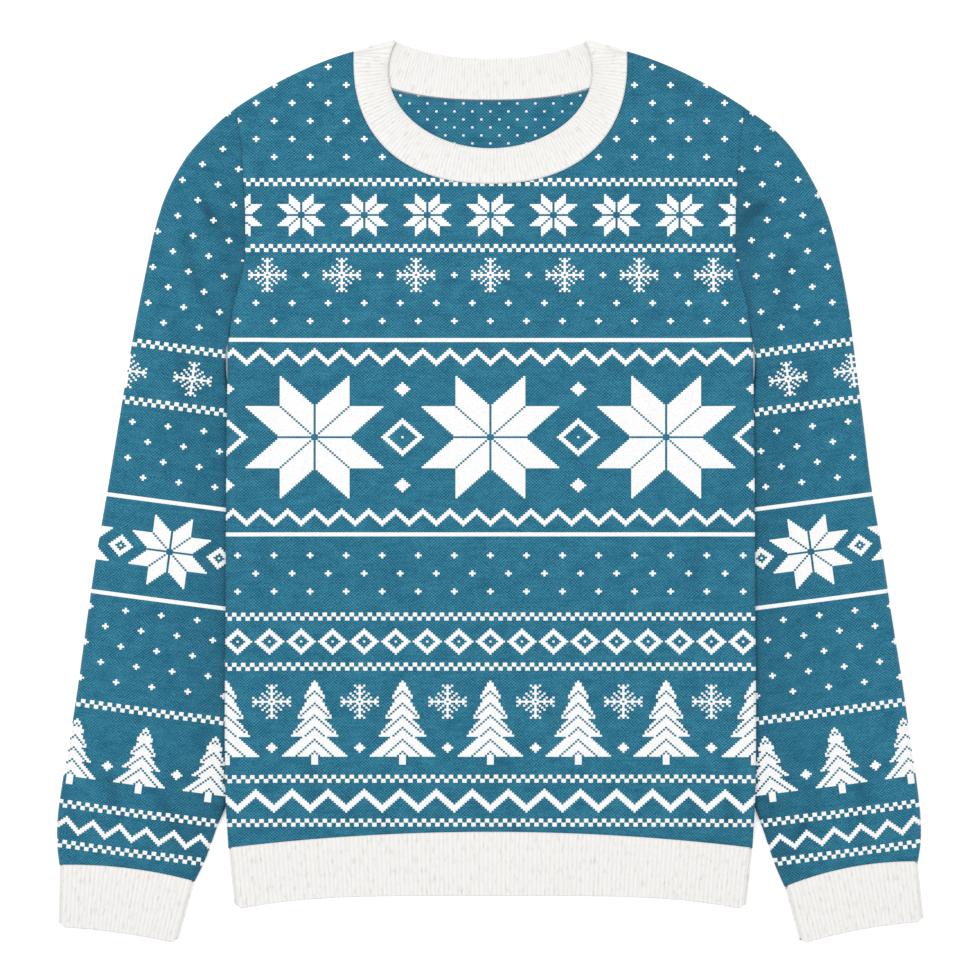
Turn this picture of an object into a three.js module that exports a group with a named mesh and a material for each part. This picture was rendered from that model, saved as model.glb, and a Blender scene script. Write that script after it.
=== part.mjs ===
// A knitted Christmas sweater lying flat on a table, front up, its arms down beside the body.
// Millimetres. X runs to the viewer's right, Y from the hem to the neck, Z up from the table.
// The origin is under the middle of the garment, on the table.
import * as THREE from 'three';

// Cloth
const WALL = 2.2; // thickness of one layer of knit
const SEAM = 0.3; // clearance along a seam and between two layers
const LAYERS = 2 * WALL + SEAM; // two layers lying on each other
const RIM = 0.9; // how far the edge of a wall is rounded back
const RIB_RISE = 0.4; // height of a rib over the furrow beside it

// Body, as half widths and heights on the table
const SHOULDER_TIP = { x: 203.5, y: 307 };
const SHOULDER_BOW = { x: 155.5, y: 339.2 };
const NECK_POINT = { x: 109.7, y: 352 };
const UNDERARM_Y = 118;
// Half width of the body from the hem seam up to the underarm
const SIDE = [
  // y, half width
  [-285.5, 209.7],
  [-247, 211.3],
  [-200, 212],
  [-100, 211.5],
  [0, 211],
  [118, 209.7],
];
// Half width from the underarm up the armhole to the shoulder tip
const ARMHOLE = [
  // y, half width
  [118, 209.7],
  [148, 205.2],
  [180, 197.4],
  [215, 196],
  [250, 197.5],
  [281, 199.8],
  [307, 203.5],
];
const BODY_ROWS = [-285.5, -268, -250, -207, -163, -118, -72, -26, 22, 70];
const ARMHOLE_STEPS = 7;
const SIDE_COLUMNS = [0, 10, 20, 29, 38, 49, 66]; // distances in from the side at the hem
const NECK_COLUMNS = 7; // columns from the neck point to the centre
const NECK_POINT_AT_HEM = 125; // half width at the hem under the neck point

// The front lies on a little air: none along the edges, and all of it in the middle
const AIR = 2;
const AIR_SIDE = 110; // distance in from the side where it is all there
const AIR_FOOT = { from: -285, to: -190 };
const AIR_TOP = { from: 90, to: 238 };

// The sides of the body lie on the inner edges of the sleeves, which lifts them
const LIFT = LAYERS + SEAM;
const LIFT_FLAT = 20; // width at each side that is lifted all the way
const LIFT_SLOPE = 29; // width over which it comes down again
const LIFT_TOP = { from: 118, to: 190 }; // heights between which the armhole comes down
const LIFT_FOOT = { from: -250, to: -285 }; // heights between which the hem comes down

// Necklines, as superellipses, and the free edge of the neckband
const NECK_POWER = 2.3;
const FRONT_NECK = { x: 108.5, y: 343, drop: 96.2, sweep: 92.5 };
const BACK_NECK = { x: 108.5, y: 349.3, drop: 36.2, sweep: 90 };
const FRONT_BAND_EDGE = { x: 81.6, y: 336, drop: 61.5, sweep: 111.3 };
const BACK_BAND_EDGE = { x: 76, y: 345.9, rise: 12.4, power: 2.3 };
const FRONT_BAND_RIBS = 108;
const BACK_BAND_RIBS = 78;
const BAND_PLAIN_STEPS = 20; // steps along an arc of the band on its plain face

// Hem
const HEM_TOP = { y: -272.7, drop: 12.8, power: 2 }; // at the centre, and lower at the sides
const HEM_FOOT = { x: 205, y: -323.5, drop: 11.5, power: 4 };
const HEM_CORNER = 4.5;
const HEM_RIBS = 117;
const HEM_PLAIN_STEPS = 24;

const CUFF_RIBS = 30;
const CUFF_PLAIN_STEPS = 8;

// Sleeves, from the armhole down to the cuff. Each row is a section from the outer edge to the
// inner one, with its share of the armhole's curve and height, its puff and its bow at the wrist.
const SLEEVE_COLUMNS = ['outX', 'outY', 'inX', 'inY', 'curve', 'seat', 'puff', 'bow'];
const SLEEVE_LEFT = [
  [-203.9, 306.8, -210.1, 118, 1, 1, 0, 0],
  [-221.5, 291.7, -211.2, 113.5, 0.8, 0.8, 0.6, 0],
  [-242.3, 268.3, -211.4, 108, 0.55, 0.5, 1.1, 0],
  [-257.5, 242, -211.5, 102, 0.35, 0.25, 1.5, 0],
  [-267.5, 213.1, -211.3, 95, 0.2, 0.08, 1.8, 0],
  [-275.3, 178, -210.2, 86, 0.1, 0, 2, 0],
  [-283, 139.5, -206, 72, 0, 0, 2, 0],
  [-290, 100, -200.5, 50, 0, 0, 2, 0],
  [-297.3, 55.5, -197, 20, 0, 0, 2, 0],
  [-305.5, 6, -195, -22, 0, 0, 2, 0],
  [-314.8, -48, -194, -70, 0, 0, 2, 0],
  [-322.3, -98.9, -194, -121, 0, 0, 2, 0],
  [-329.5, -152, -196, -174, 0, 0, 2.2, 0],
  [-336.7, -199, -201, -218, 0, 0, 2.6, 0],
  [-342, -230, -208, -243, 0, 0, 2.9, 0],
  [-346, -258, -218.5, -268, 0, 0, 3, 1],
  [-346.7, -281, -227.5, -293, 0, 0, 2.2, 2.5],
  [-344.9, -299, -236.6, -312.1, 0, 0, 0.3, 4],
];
const SLEEVE_RIGHT = [
  [203.9, 306.8, 210.1, 118, 1, 1, 0, 0],
  [224.7, 291.8, 211.2, 113.5, 0.8, 0.8, 0.6, 0],
  [242.1, 273.1, 211.4, 108, 0.55, 0.5, 1.1, 0],
  [259.5, 245, 211.5, 102, 0.35, 0.25, 1.5, 0],
  [271, 218, 211.3, 95, 0.2, 0.08, 1.8, 0],
  [280.3, 181, 210.2, 86, 0.1, 0, 2, 0],
  [287.2, 143.1, 206, 72, 0, 0, 2, 0],
  [292.5, 101, 200.5, 50, 0, 0, 2, 0],
  [298.4, 55.5, 197, 20, 0, 0, 2, 0],
  [304.5, 6, 195, -20, 0, 0, 2, 0],
  [313.5, -48, 194, -70, 0, 0, 2, 0],
  [321, -99, 194, -121, 0, 0, 2, 0],
  [329.5, -152, 196, -174, 0, 0, 2.2, 0],
  [336.2, -199, 201, -218, 0, 0, 2.6, 0],
  [340.8, -230, 208, -243, 0, 0, 2.9, 0],
  [344, -258, 218, -270, 0, 0, 3, 1.5],
  [344.4, -279, 227, -297, 0, 0, 2.2, 3.5],
  [342.1, -296.2, 235.4, -316.4, 0, 0, 0.3, 5.5],
];
const SLEEVE_SECTIONS = 21;
const PUFF_IN = { from: 0.17, to: 0.5 }; // shares of the width where the puff rises from the inner edge
const PUFF_OUT = 0.35; // share of the width where it falls to the outer edge

// Cuffs, from the sleeve down to the free edge
const CUFF_COLUMNS = ['outX', 'outY', 'inX', 'inY', 'bow'];
const CUFF_LEFT = [
  [-344.9, -299.4, -236.6, -312.5, 4],
  [-346, -344.5, -248.8, -356.5, 2.4],
  [-343.6, -348.6, -252, -361.3, 2.2],
];
const CUFF_RIGHT = [
  [342.1, -296.6, 235.4, -316.8, 5.5],
  [346.7, -340.5, 246.6, -357.6, 3.2],
  [344.4, -344.6, 250.4, -361.8, 3],
];

// The largest soft folds, raised in the cloth's outer points
const FOLDS = [
  // x, y, turn in degrees from the X axis, length, width, height
  [-127, -248, 96, 34, 15, 1.6],
  [178, -250, 84, 36, 15, 1.6],
  [-228, 252, -52, 34, 15, 1.8],
  [229, 248, 56, 34, 15, 1.8],
];

const TEAL = '#30748d';
const WHITE = '#f3f1ef';
const { degToRad, lerp, smoothstep } = THREE.MathUtils;

const point = (x, y, z = 0) => new THREE.Vector3(x, y, z);
const steps = (count) => Array.from({ length: count + 1 }, (_, i) => i / count);

// Catmull-Rom curve through the rows of a table, read at a share of its length
function rowAt(table, share) {
  const place = share * (table.length - 1);
  const at = Math.min(Math.floor(place), table.length - 2);
  const t = place - at;
  const [a, b, c, d] = [at - 1, at, at + 1, at + 2].map(
    (i) => table[THREE.MathUtils.clamp(i, 0, table.length - 1)],
  );
  return b.map((value, i) => {
    const slopeIn = (c[i] - a[i]) / 2;
    const slopeOut = (d[i] - value) / 2;
    const rise = c[i] - value;
    const bend = 3 * rise - 2 * slopeIn - slopeOut;
    const twist = slopeIn + slopeOut - 2 * rise;
    return value + t * (slopeIn + t * (bend + t * twist));
  });
}

function named(columns, row) {
  return Object.fromEntries(columns.map((name, i) => [name, row[i]]));
}

// Half width of the body at a height, along the side and then the armhole
function halfWidth(y) {
  const table = y < UNDERARM_Y ? SIDE : ARMHOLE;
  const last = table.length - 2;
  const at = THREE.MathUtils.clamp(table.findIndex(([top]) => top >= y) - 1, 0, last);
  const [[y0, x0], [y1, x1]] = [table[at], table[at + 1]];
  return lerp(x0, x1, THREE.MathUtils.clamp((y - y0) / (y1 - y0), 0, 1));
}

// How far the cloth is lifted off the table by the sleeve under it
function liftAt(x, y) {
  const top = 1 - smoothstep(y, LIFT_TOP.from, LIFT_TOP.to);
  const foot = smoothstep(y, LIFT_FOOT.to, LIFT_FOOT.from);
  const inwards = halfWidth(y) - Math.abs(x);
  return LIFT * top * foot * (1 - smoothstep(inwards, LIFT_FLAT, LIFT_FLAT + LIFT_SLOPE));
}

function foldHeight(x, y) {
  return FOLDS.reduce((sum, [foldX, foldY, turn, length, width, height]) => {
    const angle = degToRad(turn);
    const along = (x - foldX) * Math.cos(angle) + (y - foldY) * Math.sin(angle);
    const across = (y - foldY) * Math.cos(angle) - (x - foldX) * Math.sin(angle);
    return sum + height * Math.exp(-((along / length) ** 2) - (across / width) ** 2);
  }, 0);
}

// Gathers points and triangles of one closed wall
class Wall {
  constructor() {
    this.points = [];
    this.triangles = [];
  }

  // A chain of points, with the share of the way round at which each one lies
  chain(points, shares) {
    const first = this.points.length;
    this.points.push(...points);
    return points.map((_, i) => ({ index: first + i, share: shares[i] }));
  }

  triangle(a, b, c) {
    this.triangles.push(a.index, b.index, c.index);
  }

  // Joins two closed chains, however many points each has, always taking the nearer next point
  join(lower, upper) {
    const turn = (chain, i) => chain[i % chain.length].share + Math.floor(i / chain.length);
    let i = 0;
    let j = 0;
    while (i < lower.length || j < upper.length) {
      const a = lower[i % lower.length];
      const b = upper[j % upper.length];
      const stepLower = j >= upper.length
        || (i < lower.length && turn(lower, i + 1) <= turn(upper, j + 1));
      if (stepLower) {
        i += 1;
        this.triangle(a, lower[i % lower.length], b);
      } else {
        j += 1;
        this.triangle(a, upper[j % upper.length], b);
      }
    }
  }

  volume() {
    const corner = (i) => this.points[this.triangles[i]];
    let sum = 0;
    for (let i = 0; i < this.triangles.length; i += 3) {
      sum += corner(i).dot(corner(i + 1).clone().cross(corner(i + 2)));
    }
    return sum / 6;
  }

  mesh(name, colour) {
    if (this.volume() < 0) {
      this.triangles.reverse();
    }
    const geometry = new THREE.BufferGeometry().setFromPoints(this.points);
    geometry.setIndex(this.triangles);
    geometry.computeVertexNormals();
    const knit = new THREE.MeshStandardMaterial({ color: colour, roughness: 0.95, metalness: 0 });
    const mesh = new THREE.Mesh(geometry, knit);
    mesh.name = name;
    return mesh;
  }
}

const pull = (from, towards, distance) =>
  from.clone().add(towards.clone().sub(from).setLength(distance));

// A wall that closes round on itself, such as a sleeve or a band. Rows run from one open end to
// the other, stations go round it, and both open ends are rounded.
function roundWall(name, colour, rows, stations, place) {
  const wall = new Wall();
  const face = (side, depth) => {
    const list = stations[side];
    const grid = rows.map((row) => list.map((station) => place(row, station, depth)));
    const ends = [[0, 1], [grid.length - 1, grid.length - 2]];
    const pulled = ends.map(([end, next]) => grid[end].map((p, i) => pull(p, grid[next][i], RIM)));
    [grid[0], grid[grid.length - 1]] = pulled;
    return grid.map((points) => wall.chain(points, list.map(({ share }) => share)));
  };
  const edge = (row) => {
    const list = stations.inside;
    return wall.chain(list.map((s) => place(row, s, WALL / 2)), list.map(({ share }) => share));
  };
  const outside = face('outside', 0);
  const inside = face('inside', WALL);
  const loop = [...outside, edge(rows.at(-1)), ...inside.reverse(), edge(rows[0])];
  loop.forEach((chain, i) => wall.join(chain, loop[(i + 1) % loop.length]));
  return wall.mesh(name, colour);
}

// Stations round a flattened tube: along the top from the outer edge to the inner one, round the
// fold there, back along the underside and round the other fold.
const TOP_TURN = 90; // the top looks up, the underside down and the folds outwards
const FOLD_TURNS = [45, 0, -45];
const FLAT_SHARE = 0.45; // of the way round that each flat side takes
function tubeStations(top, under) {
  const flat = (list, start, turn) => list.map(({ at, rise }, i) => ({
    at: turn > 0 ? at : 1 - at,
    rise,
    turn,
    share: start + (FLAT_SHARE * i) / (list.length - 1),
  }));
  const fold = (at, start, turns) => turns.map((turn, i) => ({
    at,
    rise: 0,
    turn,
    share: start + (0.5 - FLAT_SHARE) * ((i + 1) / (turns.length + 1)),
  }));
  return [
    ...flat(top, 0, TOP_TURN),
    ...fold(1, FLAT_SHARE, FOLD_TURNS),
    ...flat(under, 0.5, -TOP_TURN),
    ...fold(0, 0.5 + FLAT_SHARE, FOLD_TURNS.toReversed()),
  ];
}

// A point of a flattened tube. Its section has a line across it, a floor and a crown, and each
// station says where on the line it is and which way it faces.
function tubePoint(section, station, depth) {
  const radius = LAYERS / 2 - depth + station.rise;
  const { line, floor, crown } = section;
  const edge = Math.round(station.at);
  const outwards = line(edge).sub(line(Math.abs(edge - 1 / ARMHOLE_STEPS))).normalize();
  const spot = line(station.at);
  const turn = degToRad(station.turn);
  const puff = station.turn === TOP_TURN ? crown(station.at, spot) : 0;
  if (station.at === edge) {
    spot.addScaledVector(outwards, radius * Math.cos(turn) - LAYERS / 2);
  }
  return point(spot.x, spot.y, floor(station.at) + LAYERS / 2 + radius * Math.sin(turn) + puff);
}

const even = (count) => steps(count).map((at) => ({ at, rise: 0 }));
const ribbed = (ribs) => steps(2 * ribs).map((at, i) => ({ at, rise: i % 2 ? RIB_RISE : 0 }));

// The armhole seam, as points from the shoulder tip down to the underarm
const armhole = steps(ARMHOLE_STEPS).map((at) => {
  const y = lerp(SHOULDER_TIP.y, UNDERARM_Y, at);
  return { x: halfWidth(y), y };
});

// How far an armhole point lies along the straight line between the ends, and how far off it
function offsetFromChord(index) {
  const { x, y } = armhole[index];
  const along = index / ARMHOLE_STEPS;
  return { along, off: lerp(SHOULDER_TIP.x, halfWidth(UNDERARM_Y), along) - x, y };
}

// A sleeve hangs from the armhole. Its sections fan out below the underarm, and the curve and the
// height of the armhole die out down the arm.
function sleeve(name, table, side) {
  const offsets = armhole.map((_, i) => offsetFromChord(i));
  const rows = steps(SLEEVE_SECTIONS).map((share) => {
    const row = named(SLEEVE_COLUMNS, rowAt(table, share));
    const outer = new THREE.Vector2(row.outX, row.outY);
    const inner = new THREE.Vector2(row.inX, row.inY);
    const across = inner.clone().sub(outer).normalize();
    const towardsBody = new THREE.Vector2(-across.y, across.x).multiplyScalar(-side);
    const seam = (at) => offsets[Math.round(at * ARMHOLE_STEPS)];
    return {
      line: (at) => outer.clone().lerp(inner, at)
        .addScaledVector(towardsBody, row.curve * seam(at).off + row.bow * 4 * at * (1 - at)),
      floor: (at) => Math.max(0, row.seat) * liftAt(halfWidth(seam(at).y), seam(at).y),
      crown: (at, spot) => row.puff * smoothstep(1 - at, PUFF_IN.from, PUFF_IN.to)
        * smoothstep(at, 0, PUFF_OUT) + Math.min(row.puff, 1) * foldHeight(spot.x, spot.y),
    };
  });
  const round = tubeStations(even(ARMHOLE_STEPS), even(ARMHOLE_STEPS));
  return roundWall(name, TEAL, rows, { outside: round, inside: round }, tubePoint);
}

function cuff(name, table, side) {
  const rows = table.map((values) => {
    const row = named(CUFF_COLUMNS, values);
    const outer = new THREE.Vector2(row.outX, row.outY);
    const inner = new THREE.Vector2(row.inX, row.inY);
    const across = inner.clone().sub(outer).normalize();
    const up = new THREE.Vector2(-across.y, across.x).multiplyScalar(-side);
    return {
      line: (at) => outer.clone().lerp(inner, at).addScaledVector(up, row.bow * 4 * at * (1 - at)),
      floor: () => 0,
      crown: () => 0,
    };
  });
  const stations = {
    outside: tubeStations(ribbed(CUFF_RIBS), even(CUFF_PLAIN_STEPS)),
    inside: tubeStations(even(CUFF_PLAIN_STEPS), even(CUFF_PLAIN_STEPS)),
  };
  return roundWall(name, WHITE, rows, stations, tubePoint);
}

const hemSeam = (x) => HEM_TOP.y - HEM_TOP.drop * Math.abs(x / SIDE[0][1]) ** HEM_TOP.power;
function hemFoot(x) {
  const drop = HEM_FOOT.drop * Math.abs(x / HEM_FOOT.x) ** HEM_FOOT.power;
  const corner = Math.max(0, Math.abs(x) - HEM_FOOT.x + HEM_CORNER) / HEM_CORNER;
  return HEM_FOOT.y - drop + HEM_CORNER * (1 - Math.sqrt(Math.max(0, 1 - corner ** 2)));
}

// The hem is one ribbed tube, flattened, from the seam of the body down to its free edge
function hem() {
  const rows = [0, 1].map((down) => ({
    line: (at) => {
      const x = lerp(-1, 1, at);
      const top = point(x * SIDE[0][1], hemSeam(x * SIDE[0][1]) - SEAM);
      const foot = point(x * HEM_FOOT.x, hemFoot(x * HEM_FOOT.x));
      return top.lerp(foot, down);
    },
    floor: () => 0,
    crown: () => 0,
  }));
  const plain = even(HEM_PLAIN_STEPS);
  const stations = {
    outside: tubeStations(ribbed(HEM_RIBS), plain),
    inside: tubeStations(plain, plain),
  };
  return roundWall('hem_rib', WHITE, rows, stations, tubePoint);
}

// Half superellipse that hangs from y, read from left to right for a share from -1 to 1
function neckCurve({ x, y, drop, sweep }, share, power = NECK_POWER, grow = 0) {
  const angle = degToRad(sweep * share);
  const shape = (value) => Math.sign(value) * Math.abs(value) ** (2 / power);
  return point((x + grow) * shape(Math.sin(angle)), y - (drop + grow) * shape(Math.cos(angle)));
}

function backBandEdge(share) {
  const x = BACK_BAND_EDGE.x * Math.sin(degToRad(90 * share));
  const { y, rise, power } = BACK_BAND_EDGE;
  return point(x, y + rise * Math.abs(x / BACK_BAND_EDGE.x) ** power);
}

// Reads a line of points at a share of its length
function readAlong(points) {
  const lengths = [0];
  for (let i = 1; i < points.length; i += 1) {
    lengths.push(lengths[i - 1] + points[i].distanceTo(points[i - 1]));
  }
  return (share) => {
    const wanted = share * lengths.at(-1);
    const at = THREE.MathUtils.clamp(lengths.findIndex((l) => l >= wanted) - 1, 0, points.length - 2);
    const part = (wanted - lengths[at]) / (lengths[at + 1] - lengths[at]);
    return points[at].clone().lerp(points[at + 1], part);
  };
}

const NECK_KNOTS = steps(2 * NECK_COLUMNS).map((at) => 2 * at - 1);
const EDGE_KNOTS = 96; // enough points to read the free edges of the band smoothly
const SMOOTH_KNOTS = steps(EDGE_KNOTS).map((at) => 2 * at - 1);

// The neckband goes once round the neck: the front arc on top, a fold at each shoulder and the
// back arc on the table. Ribs are raised on the faces that look up.
function neckband() {
  const arcs = {
    front: {
      seam: readAlong(NECK_KNOTS.map((at) => neckCurve(FRONT_NECK, at))),
      edge: readAlong(SMOOTH_KNOTS.map((at) => neckCurve(FRONT_BAND_EDGE, at, 2))),
    },
    back: {
      seam: readAlong(NECK_KNOTS.map((at) => neckCurve(BACK_NECK, at))),
      edge: readAlong(SMOOTH_KNOTS.map(backBandEdge)),
    },
  };
  const backTop = WALL + RIB_RISE;
  const frontFloor = backTop + SEAM;
  const full = frontFloor + WALL + RIB_RISE / 2;
  const place = (across, station, depth) => {
    const { arc, at, turn, rise } = station;
    const spot = arcs[arc].seam(at).lerp(arcs[arc].edge(at), across);
    const radius = full / 2 - depth * ((full - SEAM) / 2 / WALL);
    if (turn !== undefined) {
      const along = arcs[arc].edge(at).sub(arcs[arc].seam(at)).normalize();
      const away = point(-along.y, along.x).multiplyScalar(along.x > 0 ? 1 : -1);
      spot.addScaledVector(away, radius * Math.cos(degToRad(turn)));
      spot.z = full / 2 + radius * Math.sin(degToRad(turn));
    } else {
      spot.z = arc === 'front' ? frontFloor + WALL - depth + rise : depth + rise;
    }
    return spot;
  };
  const along = (arc, list, start) => list.map(({ at, rise }, i) => ({
    arc,
    rise,
    at: arc === 'front' ? at : 1 - at,
    share: start + (FLAT_SHARE * i) / (list.length - 1),
  }));
  const fold = (at, start, turns) => turns.map((turn, i) => ({
    arc: 'front',
    at,
    turn,
    share: start + (0.5 - FLAT_SHARE) * ((i + 1) / (turns.length + 1)),
  }));
  const round = (front, back) => [
    ...along('front', front, 0),
    ...fold(1, FLAT_SHARE, FOLD_TURNS),
    ...along('back', back, 0.5),
    ...fold(0, 0.5 + FLAT_SHARE, FOLD_TURNS.toReversed()),
  ];
  const plain = even(BAND_PLAIN_STEPS);
  const stations = {
    outside: round(ribbed(FRONT_BAND_RIBS), plain),
    inside: round(plain, ribbed(BACK_BAND_RIBS)),
  };
  return roundWall('neckband', WHITE, [0, 1], stations, place);
}

// Edges of a body panel, from the shoulder tip over the neck to the other tip, and along the hem
function panelColumns(neck) {
  const [tip, bow, top] = [SHOULDER_TIP, SHOULDER_BOW, NECK_POINT].map(
    ({ x, y }) => new THREE.Vector2(x, y),
  );
  const shoulder = new THREE.QuadraticBezierCurve(tip, bow, top);
  const hemHalf = SIDE[0][1];
  const right = SIDE_COLUMNS.map((inwards) => {
    const spot = shoulder.getPoint(inwards / (hemHalf - NECK_POINT_AT_HEM));
    return { hemX: hemHalf - inwards, top: point(spot.x, spot.y) };
  });
  const neckPart = NECK_KNOTS.filter((at) => at >= 0).reverse().map((at, i) => {
    const spot = neckCurve(neck, at, NECK_POWER, SEAM);
    return {
      hemX: NECK_POINT_AT_HEM * (1 - i / NECK_COLUMNS),
      top: i === 0 ? point(NECK_POINT.x, NECK_POINT.y) : spot,
    };
  });
  const half = [...right, ...neckPart];
  const mirrored = half.slice(0, -1).map(({ hemX, top: spot }) => ({
    hemX: -hemX,
    top: point(-spot.x, spot.y),
  }));
  return [...mirrored, ...half.toReversed()];
}

// A body panel: columns run from the hem to the top edge, rows from side to side, and the side
// edges follow the side seam and the armhole.
function panelGrid(neck) {
  const columns = panelColumns(neck);
  const sideRows = [
    ...BODY_ROWS.map((y) => ({ x: halfWidth(y), y })),
    ...armhole.toReversed(),
  ];
  const [foot, tip] = [sideRows[0], sideRows.at(-1)];
  return sideRows.map(({ x: half, y }) => {
    const up = (y - foot.y) / (tip.y - foot.y);
    const widening = half - lerp(foot.x, tip.x, up);
    return columns.map(({ hemX, top }) => {
      const spot = point(hemX, hemSeam(hemX)).lerp(top, up);
      spot.x += widening * (hemX / foot.x);
      return spot;
    });
  });
}

function airAt(x, y) {
  const top = 1 - smoothstep(y, AIR_TOP.from, AIR_TOP.to);
  const foot = smoothstep(y, AIR_FOOT.from, AIR_FOOT.to);
  return AIR * top * foot * smoothstep(halfWidth(y) - Math.abs(x), 0, AIR_SIDE);
}

function panel(name, neck, { floor, isFront }) {
  const grid = panelGrid(neck);
  const [rowCount, columnCount] = [grid.length, grid[0].length];
  const wall = new Wall();
  const height = ({ x, y }, row, column) => {
    const edge = row === 0 || column === 0 || row === rowCount - 1 || column === columnCount - 1;
    const raised = isFront && !edge ? airAt(x, y) + foldHeight(x, y) : 0;
    return floor + liftAt(x, y) + raised;
  };
  const inward = (spot, row, column) => {
    const nextRow = THREE.MathUtils.clamp(row, 1, rowCount - 2);
    const nextColumn = THREE.MathUtils.clamp(column, 1, columnCount - 2);
    const onEdge = nextRow !== row || nextColumn !== column;
    return onEdge ? pull(spot, grid[nextRow][nextColumn], RIM) : spot;
  };
  const face = (rise, rounded) => grid.map((row, r) => {
    const points = row.map((spot, c) => {
      const placed = rounded ? inward(spot, r, c) : spot;
      return point(placed.x, placed.y, height(spot, r, c) + rise);
    });
    return wall.chain(points, points.map(() => 0));
  });
  const under = face(0, !isFront);
  const over = face(WALL, isFront);
  for (let r = 0; r < rowCount - 1; r += 1) {
    for (let c = 0; c < columnCount - 1; c += 1) {
      wall.triangle(over[r][c], over[r][c + 1], over[r + 1][c + 1]);
      wall.triangle(over[r][c], over[r + 1][c + 1], over[r + 1][c]);
      wall.triangle(under[r][c], under[r + 1][c + 1], under[r][c + 1]);
      wall.triangle(under[r][c], under[r + 1][c], under[r + 1][c + 1]);
    }
  }
  const around = [
    ...grid[0].slice(0, -1).map((_, c) => [0, c]),
    ...grid.slice(0, -1).map((_, r) => [r, columnCount - 1]),
    ...grid[0].slice(1).map((_, c) => [rowCount - 1, columnCount - 1 - c]),
    ...grid.slice(1).map((_, r) => [rowCount - 1 - r, 0]),
  ];
  const share = (i) => i / around.length;
  const rim = (faceRows) => around.map(([r, c], i) => ({ ...faceRows[r][c], share: share(i) }));
  const middle = around.map(([r, c]) => {
    const spot = grid[r][c];
    return point(spot.x, spot.y, height(spot, r, c) + (isFront ? WALL - RIM : RIM));
  });
  const edge = wall.chain(middle, middle.map((_, i) => share(i)));
  wall.join(rim(under), edge);
  wall.join(edge, rim(over));
  return wall.mesh(name, TEAL);
}

const sweater = new THREE.Group();
sweater.add(
  panel('back_panel', BACK_NECK, { floor: 0, isFront: false }),
  panel('front_panel', FRONT_NECK, { floor: WALL + SEAM, isFront: true }),
  sleeve('sleeve_left', SLEEVE_LEFT, -1),
  sleeve('sleeve_right', SLEEVE_RIGHT, 1),
  cuff('cuff_left', CUFF_LEFT, -1),
  cuff('cuff_right', CUFF_RIGHT, 1),
  hem(),
  neckband(),
);

// Sets the origin under the middle of the whole garment
const box = new THREE.Box3().setFromObject(sweater);
const centre = box.getCenter(point(0, 0));
sweater.position.set(-centre.x, -centre.y, -box.min.z);
sweater.updateMatrixWorld(true);

export default sweater;
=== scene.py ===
"""A knitted Christmas sweater, laid flat on a pale floor with its front up.

Lengths are millimetres in the part's own frame: X runs to the viewer's right, Y from the hem to the
neck and Z up from the floor. They become metres of the shared frame when a mesh is made.
"""

from __future__ import annotations

import logging
from dataclasses import dataclass, field
from enum import Enum

import bpy
import numpy as np
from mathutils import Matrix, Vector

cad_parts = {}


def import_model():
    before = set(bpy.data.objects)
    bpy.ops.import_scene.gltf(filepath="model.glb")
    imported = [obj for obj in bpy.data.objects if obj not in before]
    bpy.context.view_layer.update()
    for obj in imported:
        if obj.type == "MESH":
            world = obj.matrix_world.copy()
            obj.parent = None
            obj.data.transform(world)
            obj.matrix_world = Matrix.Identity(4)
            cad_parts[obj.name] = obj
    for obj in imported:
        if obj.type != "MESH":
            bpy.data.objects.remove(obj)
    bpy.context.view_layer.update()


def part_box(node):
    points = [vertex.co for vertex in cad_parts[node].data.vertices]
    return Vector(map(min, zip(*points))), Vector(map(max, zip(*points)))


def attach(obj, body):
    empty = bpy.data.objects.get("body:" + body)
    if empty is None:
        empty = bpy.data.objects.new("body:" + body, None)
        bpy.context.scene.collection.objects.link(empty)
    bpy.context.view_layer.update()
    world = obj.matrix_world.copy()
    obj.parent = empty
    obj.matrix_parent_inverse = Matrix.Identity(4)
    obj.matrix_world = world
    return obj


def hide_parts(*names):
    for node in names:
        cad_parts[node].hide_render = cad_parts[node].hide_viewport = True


LOG = logging.getLogger("christmas_sweater")
Array = np.ndarray

METRES = 0.001
STITCH_WIDE = 1.8  # width of one stitch
STITCH_HIGH = 1.6  # height of one stitch

WALL = 2.2  # thickness of one layer of knit
SEAM = 0.3  # clearance along a seam and between two layers
LAYERS = 2 * WALL + SEAM  # two layers lying on each other
RIM = 0.9  # how far the edge of a wall is rounded back
RIB_RISE = 0.4  # how far a rib stands over the plain cloth
YARN_RISE = 0.16  # how far the second yarn stands over the first
GRAIN = 0.05  # how far every other stitch stands up or lies down
RELIEF = YARN_RISE + 2 * GRAIN  # the most that the knit itself stands up

SHOULDER_TIP = (203.5, 307.0)
SHOULDER_BOW = (155.5, 339.2)
NECK_POINT = (109.7, 352.0)
UNDERARM = 118.0
# Height and half width of the body, from the hem seam up the side and the armhole
SIDE = np.array([(-285.5, 209.7), (-247, 211.3), (-200, 212), (-100, 211.5), (0, 211), (118, 209.7)])
ARMHOLE = np.array(
    [(118, 209.7), (148, 205.2), (180, 197.4), (215, 196), (250, 197.5), (281, 199.8), (307, 203.5)]
)
NECK_POWER = 2.3
HEM_HALF = 209.7

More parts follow.
